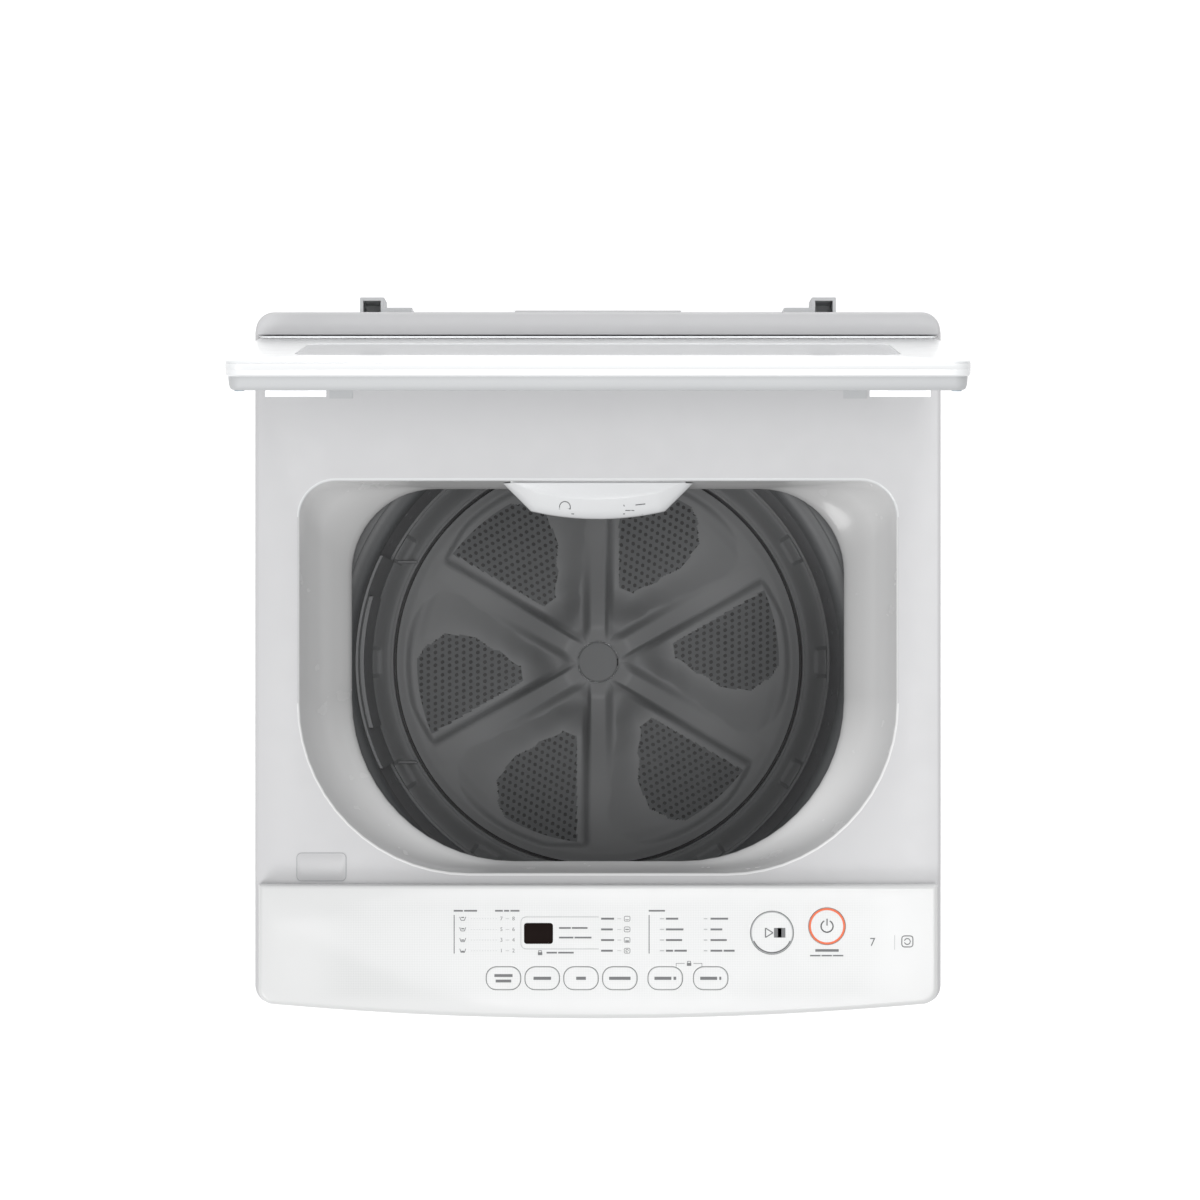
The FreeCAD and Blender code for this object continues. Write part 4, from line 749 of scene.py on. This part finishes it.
def display_marks(bm):
    """The display's outline, open on its right, and the lock under it."""
    left, low, high = -59.2, FRONT + 54.5, FRONT + 79.1
    points = [(0.5, high)] + arc(left + 4, high - 4, 4, 90, 180, 5)
    points += arc(left + 4, low + 4, 4, 180, 270, 5) + [(0.5, low)]
    stroke(bm, points, 0.5, layer=1)
    bars(bm, -29.9, FRONT + 70.6, [9, 12], 1.3)
    bars(bm, -29.9, FRONT + 63.2, [11, 13], 1.3)
    padlock(bm, -44.5, FRONT + 51.6)
    bars(bm, -39.5, FRONT + 51.6, [8, 12], 1.3)


def padlock(bm, x, y):
    block(bm, (x - 1.7, x + 1.7), (y - 1.9, y + 0.4), (TOP - 0.05, TOP + 0.08))
    stroke(bm, [(x - 1.1, y + 0.4), (x - 1.1, y + 1.6), (x + 1.1, y + 1.6),
                (x + 1.1, y + 0.4)], 0.5)


def process_marks(bm):
    """The four steps, each with its icon: tub, tub with water, drops and spiral."""
    for i, y in enumerate(ROWS):
        bars(bm, 2.4, y, [10 - (i % 2)], 1.5)
        bars(bm, 14.9, y, [3.1], 0.45, layer=1)
        stroke(bm, round_box(20.2, 24.6, y - 1.9, y + 1.9, 0.8, 2), 0.45, closed=True)
        if i < 3:
            bars(bm, 21.0, y - 0.8 + 0.8 * (i % 2), [2.8], 0.5 + 0.3 * i)
        else:
            stroke(bm, arc(22.4, y, 1.0, 0, 300, 8), 0.45)


def course_marks(bm):
    bars(bm, 39.0, HEAD, [12.5], 1.3)
    stroke(bm, [(39.3, HEAD - 3.4), (39.3, ROWS[3] - 2)], 0.7)
    lengths = [([9.5], [13.5]), ([13.5], [9.0]), ([12.5], [12.5]), ([5.5, 9.5], [9.0, 8.5])]
    for y, (first, second) in zip(ROWS, lengths):
        bars(bm, 47.6, y, [3.2], 0.9, layer=1)
        bars(bm, 52.2, y, first, 1.5)
        bars(bm, 81.3, y, [2.8], 0.9, layer=1)
        bars(bm, 86.5, y, second, 1.5)
    low = FRONT + 43.4
    stroke(bm, [(60.1, low - 2.4), (60.1, low), (66.5, low)], 0.4)
    stroke(bm, [(73.5, low), (79.9, low), (79.9, low - 2.4)], 0.4)
    padlock(bm, 70.0, low)


def side_marks(bm):
    """Marks under the power button and at the right."""
    x, y = pad_centre("power")
    bars(bm, x - 9, y - 18.6, [18], 2.0)
    bars(bm, x - 13, y - 22.6, [8, 8, 8], 1.1)
    numeral(bm, "7", 211.0, FRONT + 59.5, 9.0)
    stroke(bm, [(228, FRONT + 54), (228, FRONT + 65)], 0.4, layer=1)
    stroke(bm, round_box(233.5, 242, FRONT + 56, FRONT + 64.5, 2, 3), 0.8, closed=True)
    stroke(bm, arc(237.7, FRONT + 60.2, 2.3, 200, 520, 10), 0.7)


def button_marks():
    """What is printed on each pad and disc, riding with it."""
    lengths = {"soak": None, "wash": [13.5], "rinse": [7.5], "spin": [16.5],
               "level": [13, 2], "course": [13, 1.5]}
    for name, row in lengths.items():
        x, y = pad_centre(name)
        bm = bmesh.new()
        if row is None:
            bars(bm, x - 7, y + 2.1, [14], 2.2, TOP + 0.32)
            bars(bm, x - 6, y - 2.1, [12], 2.2, TOP + 0.32)
        else:
            bars(bm, x - (sum(row) + 1.6 * (len(row) - 1)) / 2, y, row, 2.4, TOP + 0.32)
        piece(bm, "pad_mark_" + name, ink, "button_" + name)
    x, y = pad_centre("start")
    bm = bmesh.new()
    stroke(bm, [(x - 5, y + 3.6), (x - 5, y - 3.6), (x + 0.8, y)], 0.9, TOP + 0.52, 0, True)
    bars(bm, x + 3.6, y, [1.6], 7.4, TOP + 0.52)
    bars(bm, x + 6.6, y, [1.6], 7.4, TOP + 0.52)
    stroke(bm, arc(x, y, 15.3, 205, 335, 20), 0.9, TOP + 0.55)
    piece(bm, "disc_mark_start", ink, "button_start")
    x, y = pad_centre("power")
    bm = bmesh.new()
    stroke(bm, arc(x, y, 4.6, 120, 420, 20), 1.0, TOP + 0.52)
    stroke(bm, [(x, y + 5.6), (x, y + 0.8)], 1.0, TOP + 0.52)
    piece(bm, "disc_mark_power", ink, "button_power")


def badge():
    """A blank energy plate, stuck on the deck at its front left."""
    x, y = (-232.6, -194.7), (CONSOLE_REAR + 2, CONSOLE_REAR + 23.4)
    bm = bmesh.new()
    edges = loop(bm, round_box(*x, *y, 3.5, 6), DECK - 0.1)
    cap(bm, wall(bm, edges, [(round_box(*x, *y, 3.5, 6), DECK + 0.3),
                             (round_box(x[0] + 0.3, x[1] - 0.3, y[0] + 0.3, y[1] - 0.3, 3.2,
                                        6), DECK + 0.45)]))
    outward(bm)
    piece(bm, "rating_plate", deck_white, "chassis")
    bm = bmesh.new()
    stroke(bm, round_box(*x, *y, 3.5, 6), 0.7, DECK + 0.35, closed=True)
    piece(bm, "rating_plate_line", pale_ink, "chassis")


bm = bmesh.new()
for marks in (level_marks, display_marks, process_marks, course_marks, side_marks):
    marks(bm)
piece(bm, "console_print", [ink, pale_ink], "chassis")
button_marks()
badge()

# ---- lid -----------------------------------------------------------------------------
REACH = 395.7
SHUT_TO_OPEN = (Matrix.Translation((0, HINGE_Y, HINGE_Z))
                @ Matrix.Rotation(-LID_OPEN, 4, "X"))


def lid_piece(bm, name, material, replaces=()):
    """A piece drawn shut about the hinge line, stood open as the lid rests."""
    bmesh.ops.transform(bm, matrix=SHUT_TO_OPEN, verts=bm.verts)
    return piece(bm, name, material, "lid", replaces)


def lid_ring(inset, rear=0.0):
    half = 261 - inset
    corner = max(12 - inset, 2.0)
    points = arc(-half + corner, -REACH + inset + corner, corner, 180, 270, 8)
    points += arc(half - corner, -REACH + inset + corner, corner, 270, 360, 8)
    return points + [(half, rear), (-half, rear)]


def pane(inset, corner=16):
    return round_box(-218 + inset, 218 - inset, -305 + inset, -110 - inset, corner, 8)


def lid_shell():
    bm = bmesh.new()
    rim, (hole,) = plate_with_holes(bm, lid_ring(1.0), [pane(0)], 25)
    low = [(lid_ring(1 - math.sin(a)), 24 + math.cos(a))
           for a in [math.pi / 6 * i for i in range(1, 4)]]
    wall(bm, rim, low + [(lid_ring(0), 23.8), (lid_ring(0.5), 23.6), (lid_ring(0.5), 23.1),
                         (lid_ring(0), 22.9), (lid_ring(0), 19.2), (lid_ring(0.25), 18.8),
                         (lid_ring(0), 18.4), (lid_ring(0.2), 15.0), (lid_ring(1.2), 14.0),
                         (lid_ring(2.5), 14.0), (lid_ring(2.5), 22)])
    wall(bm, hole, [(pane(0.3), 24.7), (pane(0.3), 22)])
    seam = [e for e in bm.edges if all(abs(v.co.y) < 0.01 and v.co.z > 21.9 for v in e.verts)
            and abs(e.verts[0].co.x - e.verts[1].co.x) > 400]
    top = max(seam, key=lambda e: e.verts[0].co.z)
    bmesh.ops.spin(bm, geom=list(top.verts) + [top], cent=(0, 0, 0), axis=(-1, 0, 0),
                   angle=math.pi / 2, steps=14)
    bmesh.ops.recalc_face_normals(bm, faces=bm.faces)
    return lid_piece(bm, "lid_outer", gloss_white, ["lid_shell"])


def lid_pane():
    bm = bmesh.new()
    edges = loop(bm, pane(0.4), 24.6)
    cap(bm, edges)
    cap(bm, wall(bm, edges, [(pane(0.4), 22.0)]))
    outward(bm)
    return lid_piece(bm, "lid_glass", glass, ["lid_window"])


def lid_frame():
    bm = bmesh.new()

    def ring(inset):
        return lid_ring(2 + inset, -9.5)
    hole = round_box(-192, 192, -330, -60, 24, 8)
    rim = loop(bm, ring(0), 16)
    curve = [(0.1, 13), (0.3, 10), (0.6, 7.5), (1.1, 5.8), (1.9, 4.7), (2.8, 4.2), (3.6, 4.0)]
    edge = wall(bm, rim, [(ring(i), z) for i, z in curve])
    inner = loop(bm, hole, 4)
    cap(bm, edge + inner)
    floor_edges = wall(bm, inner, [(round_box(-190, 190, -328, -62, 24, 8), 6),
                                   (round_box(-186, 186, -324, -66, 22, 8), 16)])
    cap(bm, floor_edges)
    outward(bm)
    lid_piece(bm, "lid_inner", liner_white, ["lid_frame"])
    bm = bmesh.new()
    for side in (-1, 1):
        block(bm, sorted((side * 222, side * 255)), (-13.5, 4.5), (-15.5, 9), 2.0, 3)
    return lid_piece(bm, "hinge_lugs", gloss_white)


lid_shell()
lid_pane()
lid_frame()

# ---- detergent drawer ----------------------------------------------------------------
NOSE_Y = TUB_Y + 140


def nose_points(half, reach, side_reach, x_in, y0, steps=24):
    """The nose seen from above: straight cheeks and a bowed front."""
    radius = (x_in ** 2 + (reach - side_reach) ** 2) / (2 * (reach - side_reach))
    lean = math.degrees(math.asin(x_in / radius))
    front = arc(0, y0 - reach + radius, radius, 270 - lean, 270 + lean, steps)
    return [(-half, y0)] + front + [(half, y0)]


def drawer():
    bm = bmesh.new()
    top = drawer_high[2]
    y0 = NOSE_Y - 1.5
    edges = loop(bm, nose_points(64, 12.5, 7, 47, y0), top)
    cap(bm, edges)
    last = wall(bm, edges, [
        (nose_points(64.6, 13.4, 7.8, 47.4, y0), top - 0.3),
        (nose_points(66, 15, 9.2, 48, y0), top - 1.2),
        (nose_points(70, 21.5, 15.6, 50, y0), top - 5.0),
        (nose_points(73, 26.4, 20.5, 51.6, y0), top - 9.5),
        (nose_points(73.8, 27.6, 21.6, 52, y0), top - 12.5),
        (nose_points(73.4, 27.0, 21.2, 51.6, y0), top - 32.6)])
    cap(bm, last)
    block(bm, (-68, 68), (y0 - 2, drawer_high[1]), (drawer_low[2], drawer_high[2] - 4), 1.5)
    outward(bm)
    return piece(bm, "drawer_tray", gloss_white, "drawer",
                 ["detergent_drawer"])


def drawer_marks():
    """A softener bottle cap and a scoop, lying on the nose's slope."""
    bm = bmesh.new()
    y0, top = NOSE_Y - 1.5, drawer_high[2]
    y = y0 - 19.5
    stroke(bm, arc(-25.6, y + 1, 4.2, -20, 200, 14), 0.7, 0)
    stroke(bm, [(-30, y - 0.4), (-21.2, y - 0.4)], 0.7, 0)
    bars(bm, -32, y - 4.2, [6, 7], 0.7, 0)
    stroke(bm, [(20, y + 2.6), (21.4, y - 1.6), (28, y - 1.6), (29.4, y + 2.6)], 0.7, 0)
    stroke(bm, [(29.4, y + 2.6), (36.5, y + 3.4)], 0.8, 0)
    bars(bm, 19.5, y - 4.2, [8, 7], 0.7, 0)
    for v in bm.verts:
        reach = y0 - v.co.y + 6 * (v.co.x / 50) ** 2
        drop = (1.2 + (reach - 15) * 3.8 / 6.5 if reach < 21.5
                else 5.0 + (reach - 21.5) * 4.5 / 4.9)
        v.co.z += top - drop
    piece(bm, "drawer_print", ink, "drawer")


drawer()
drawer_marks()


# ---- basket and pulsator -------------------------------------------------------------
def balance_ring():
    bm = bmesh.new()
    lo, hi, r0, r1 = ring_low[2], ring_high[2], 192.8, ring_high[0]
    lathe(bm, [(r0 + 6, lo), (r1 - 6, lo), (r1 - 1.5, lo + 2), (r1, lo + 6), (r1, hi - 7),
               (r1 - 2, hi - 2.5), (r1 - 6, hi - 0.6), (r1 - 11, hi), (r0 + 9, hi - 0.4),
               (r0 + 5, hi - 1.6), (r0 + 1.8, hi - 4.5), (r0 + 0.3, hi - 9), (r0, hi - 14),
               (r0, lo + 8), (r0 + 2, lo + 2)])
    return piece(bm, "balance_ring", balance_grey, "basket",
                 ["balancer_ring"])


def base_ring():
    """The sloping ring round the pulsator, with a scoop every 30 degrees."""
    bm = bmesh.new()
    profile = [(24, 343.2), (196, 343.2), (201.9, 355), (201.9, 379), (199.8, 379),
               (199.2, 378.2)]
    slope = [(mix(199.2, 182.4, i / 16), mix(378.2, 357.2, smooth(i / 16))) for i in
             range(1, 17)]
    lip = [(181.4, 356.6), (180.6, 356.9), (179.6, 356.6), (178.9, 355.4), (178.6, 347.2),
           (24, 347.2)]
    lathe(bm, profile + slope + lip, 360)
    for v in bm.verts:
        x, y = v.co.x, v.co.y - TUB_Y
        r = math.hypot(x, y)
        if not 184 < r < 199.5 or v.co.z < 356:
            continue
        turn = (math.degrees(math.atan2(y, x)) + 15) % 30 - 15
        across = abs(math.radians(turn) * r) / 13.0
        along = max(0.0, (r - 188.0) / 9.0)
        if across < 1 and along > 0:
            v.co.z -= 6.0 * smooth((1 - across) * 4) * smooth(along * 1.6)
    for y in (-87.5, 87.5):
        block(bm, (-(180.5 ** 2 - 87.5 ** 2) ** 0.5 - 17, -(180.5 ** 2 - 87.5 ** 2) ** 0.5),
              (TUB_Y + y - 1, TUB_Y + y + 1), (356, 371), 0.6)
    bmesh.ops.recalc_face_normals(bm, faces=bm.faces)
    # The floor under the pulsator takes the black plastic: painted shade, so that it reads dark through the
    # strainers' holes.
    for face in bm.faces:
        middle = face.calc_center_median()
        face.material_index = int(math.hypot(middle.x, middle.y - TUB_Y) < 178.5)
    return piece(bm, "base_ring", [ring_grey, jet], "basket",
                 ["basket_base"])


LAND, FLOOR = 358.0, 349.6
HUB_TOP = disc_high[2]


def edge_turn(table, r):
    """Reads a table of (radius, degrees) at r."""
    for (r0, a0), (r1, a1) in zip(table, table[1:]):
        if r <= r1:
            return mix(a0, a1, smooth((r - r0) / (r1 - r0)))
    return table[-1][1]


SLOPE_TOP = [(30, 34), (60, 45), (85, 51), (110, 54), (134, 56), (150, 55), (160, 50), (169, 42)]
SLOPE_FOOT = [(30, 16), (66, 27), (90, 37), (111, 41.5), (134, 41), (150, 36), (160, 31), (169, 27)]


def pulsator_height(r, turn):
    """The pulsator's surface: hub, six ridges and six swept pockets."""
    base = LAND + (HUB_TOP - LAND) * (1 - smooth((r - 16) / 104)) ** 1.7
    base -= 1.6 * smooth((r - 168) / 8)
    phi = (30 - turn) % 60
    p, q = r * math.cos(math.radians(phi)), r * math.sin(math.radians(phi))
    near = phi - 60 if phi > 30 else phi
    off = r * math.sin(math.radians(near))
    crest = 6.0 * smooth((r - 17) / 16) * (1 - smooth((r - 30) / 95)) + 0.7
    crest *= 1 - smooth((r - 160) / 8)
    ridge = crest * (1 - smooth((abs(off) - 5.5) / (4.0 if off > 0 else 9.0)))
    valley = 5.0 * smooth((r - 20) / 14) * (1 - smooth((r - 38) / 60))
    valley *= smooth((abs(off) - 5.0) / 9.0)
    top, foot = edge_turn(SLOPE_TOP, r), edge_turn(SLOPE_FOOT, r)
    across = min(max((top - phi) / max(top - foot, 1.0), 0.0), 1.0)
    down = math.sin(math.pi / 2 * across) ** 1.2
    steep = math.sin(math.pi / 2 * min(max((q - 8.0) / 7.0, 0.0), 1.0)) ** 1.2
    outer = smooth((169 - r) / 6)
    inner = smooth((r - 34) / 34)
    square = math.hypot(max(p - 150, 0), max(14 - q, 0))
    corner = 1 - smooth((square - 8) / 5)
    share = inner * outer * steep * down * corner
    return base + ridge * (1 - share) - valley * (1 - share) - (base - FLOOR) * share


def in_holes(r, turn, slack=0.0):
    """Whether a point lies on the pierced part of a pocket's floor."""
    phi = (30 - turn) % 60
    q = r * math.sin(math.radians(phi))
    return (66 - slack < r < 160.5 + slack and q > 17.0 - slack
            and phi < edge_turn(SLOPE_FOOT, r) + slack / 3 + 0.3)


def pulsator():
    bm = bmesh.new()
    steps = 540
    radii = [17.9 + (176.2 - 17.9) * i / 118 for i in range(119)]
    profile = [(18.0, HUB_TOP - 5), (17.9, HUB_TOP)] + [(r, LAND) for r in radii[1:]]
    profile += [(176.4, LAND - 4), (176.4, 348.2)]
    lathe(bm, profile, steps, closed=False)
    doomed = []
    for v in bm.verts:
        x, y = v.co.x, v.co.y - TUB_Y
        r = math.hypot(x, y)
        if r < 18.3 or v.co.z < LAND - 0.01:
            continue
        v.co.z = pulsator_height(r, math.degrees(math.atan2(y, x)))
    for face in bm.faces:
        c = face.calc_center_median()
        r, turn = math.hypot(c.x, c.y - TUB_Y), math.degrees(math.atan2(c.y - TUB_Y, c.x))
        if in_holes(r, turn, -1.5) and c.z < FLOOR + 0.5:
            doomed.append(face)
    bmesh.ops.delete(bm, geom=doomed, context="FACES")
    bmesh.ops.recalc_face_normals(bm, faces=bm.faces)
    return piece(bm, "pulsator_disc", wash_grey, "pulsator", ["pulsator"], 50)


def strainers():
    """The pierced floors of the six pockets, each a lattice of round holes."""
    bm = bmesh.new()
    u, v = Vector((0.0, 5.6)), Vector((6.2, 2.8))
    cells = {}
    for i in range(8, 29):
        for j in range(-40, 40):
            spot = u * j + v * i
            if spot.length < 40 or spot.length > 170:
                continue
            turn = math.degrees(math.atan2(spot.y, spot.x))
            if -14 < turn < 30 and in_holes(spot.length, turn, 4.5):
                cells[i, j] = spot
    corners = {}

    def corner(i, j):
        if (i, j) not in corners:
            at = u * (j - 0.5) + v * (i - 0.5)
            corners[i, j] = bm.verts.new((at.x, at.y, 0))
        return corners[i, j]
    faces, holes = [], []
    for (i, j), spot in cells.items():
        face = bm.faces.new([corner(i, j), corner(i + 1, j), corner(i + 1, j + 1),
                             corner(i, j + 1)])
        faces.append(face)
        turn = math.degrees(math.atan2(spot.y, spot.x))
        if in_holes(spot.length, turn, 0.4):
            holes.append((face, spot))
    bmesh.ops.inset_individual(bm, faces=[f for f, s in holes], thickness=1.3)
    rims = {e for f, s in holes for e in f.edges}
    bmesh.ops.subdivide_edges(bm, edges=list(rims), cuts=1)
    for face, spot in holes:
        for vert in face.verts:
            away = Vector((vert.co.x, vert.co.y)) - spot
            away = away.normalized() * 1.75
            vert.co = (spot.x + away.x, spot.y + away.y, 0)
    bmesh.ops.delete(bm, geom=[f for f, s in holes], context="FACES")
    bmesh.ops.translate(bm, vec=(0, 0, FLOOR - 0.1), verts=bm.verts)
    for face in bm.faces:
        if face.normal.z < 0:
            face.normal_flip()
    bmesh.ops.solidify(bm, geom=bm.faces[:], thickness=1.1)
    original = bm.verts[:] + bm.edges[:] + bm.faces[:]
    for k in range(1, 6):
        copy = bmesh.ops.duplicate(bm, geom=original)["geom"]
        verts = [g for g in copy if isinstance(g, bmesh.types.BMVert)]
        bmesh.ops.rotate(bm, verts=verts, cent=(0, 0, 0),
                         matrix=Matrix.Rotation(math.radians(60 * k), 3, "Z"))
    bmesh.ops.translate(bm, vec=(0, TUB_Y, 0), verts=bm.verts)
    return piece(bm, "pulsator_strainers", mesh_grey, "pulsator")


def hub_cap():
    bm = bmesh.new()
    lathe(bm, [(0.01, cap_low[2]), (17.6, cap_low[2]), (17.6, HUB_TOP - 2.4),
               (16.9, HUB_TOP - 2.4), (16.8, HUB_TOP - 0.7), (16.3, HUB_TOP - 0.2),
               (12.0, HUB_TOP), (0.01, HUB_TOP)], 96)
    block(bm, (-18.0, -16.4), (TUB_Y - 3.5, TUB_Y + 3.5), (HUB_TOP - 3, HUB_TOP - 0.2), 0.3)
    piece(bm, "hub_cap", hub_grey, "pulsator", ["pulsator_cap"])
    # The slot is a black block: painted shade standing for the slot's dark recess.
    bm = bmesh.new()
    block(bm, (16.4, 18.2), (TUB_Y - 3, TUB_Y + 3), (HUB_TOP - 3, HUB_TOP - 0.1), 0.3)
    piece(bm, "hub_slot", jet, "pulsator")


balance_ring()
base_ring()
pulsator()
strainers()
hub_cap()

# ---- finishes of the CAD nodes that show ---------------------------------------------
FINISHES = {
    "painted_steel": enamel, "white_gloss": gloss_white, "white_satin": satin_white,
    "grey_plastic": ring_grey, "dark_plastic": jet, "clear_window": glass,
    "display_black": smoke, "circuit_board": green_board, "zinc_steel": zinc,
    "stainless": drum_steel, "bearing_steel": shaft_steel, "cast_alloy": alloy,
    "tub_plastic": tub_white, "rubber_black": black_rubber, "rubber_blue": pale_blue,
    "motor_steel": motor_paint,
}
OWN = {"hose_hooks": hook_grey, "hinge_caps": tab_grey, "base_frame": base_grey,
       "tub_cover": balance_grey}
slots = {s["node"]: s["material_slot"] for s in frame["record"]["subparts"]}
for name, obj in frame["nodes"].items():
    finish = OWN.get(name, FINISHES[slots[name]])
    obj.data.materials.clear()
    obj.data.materials.append(finish)
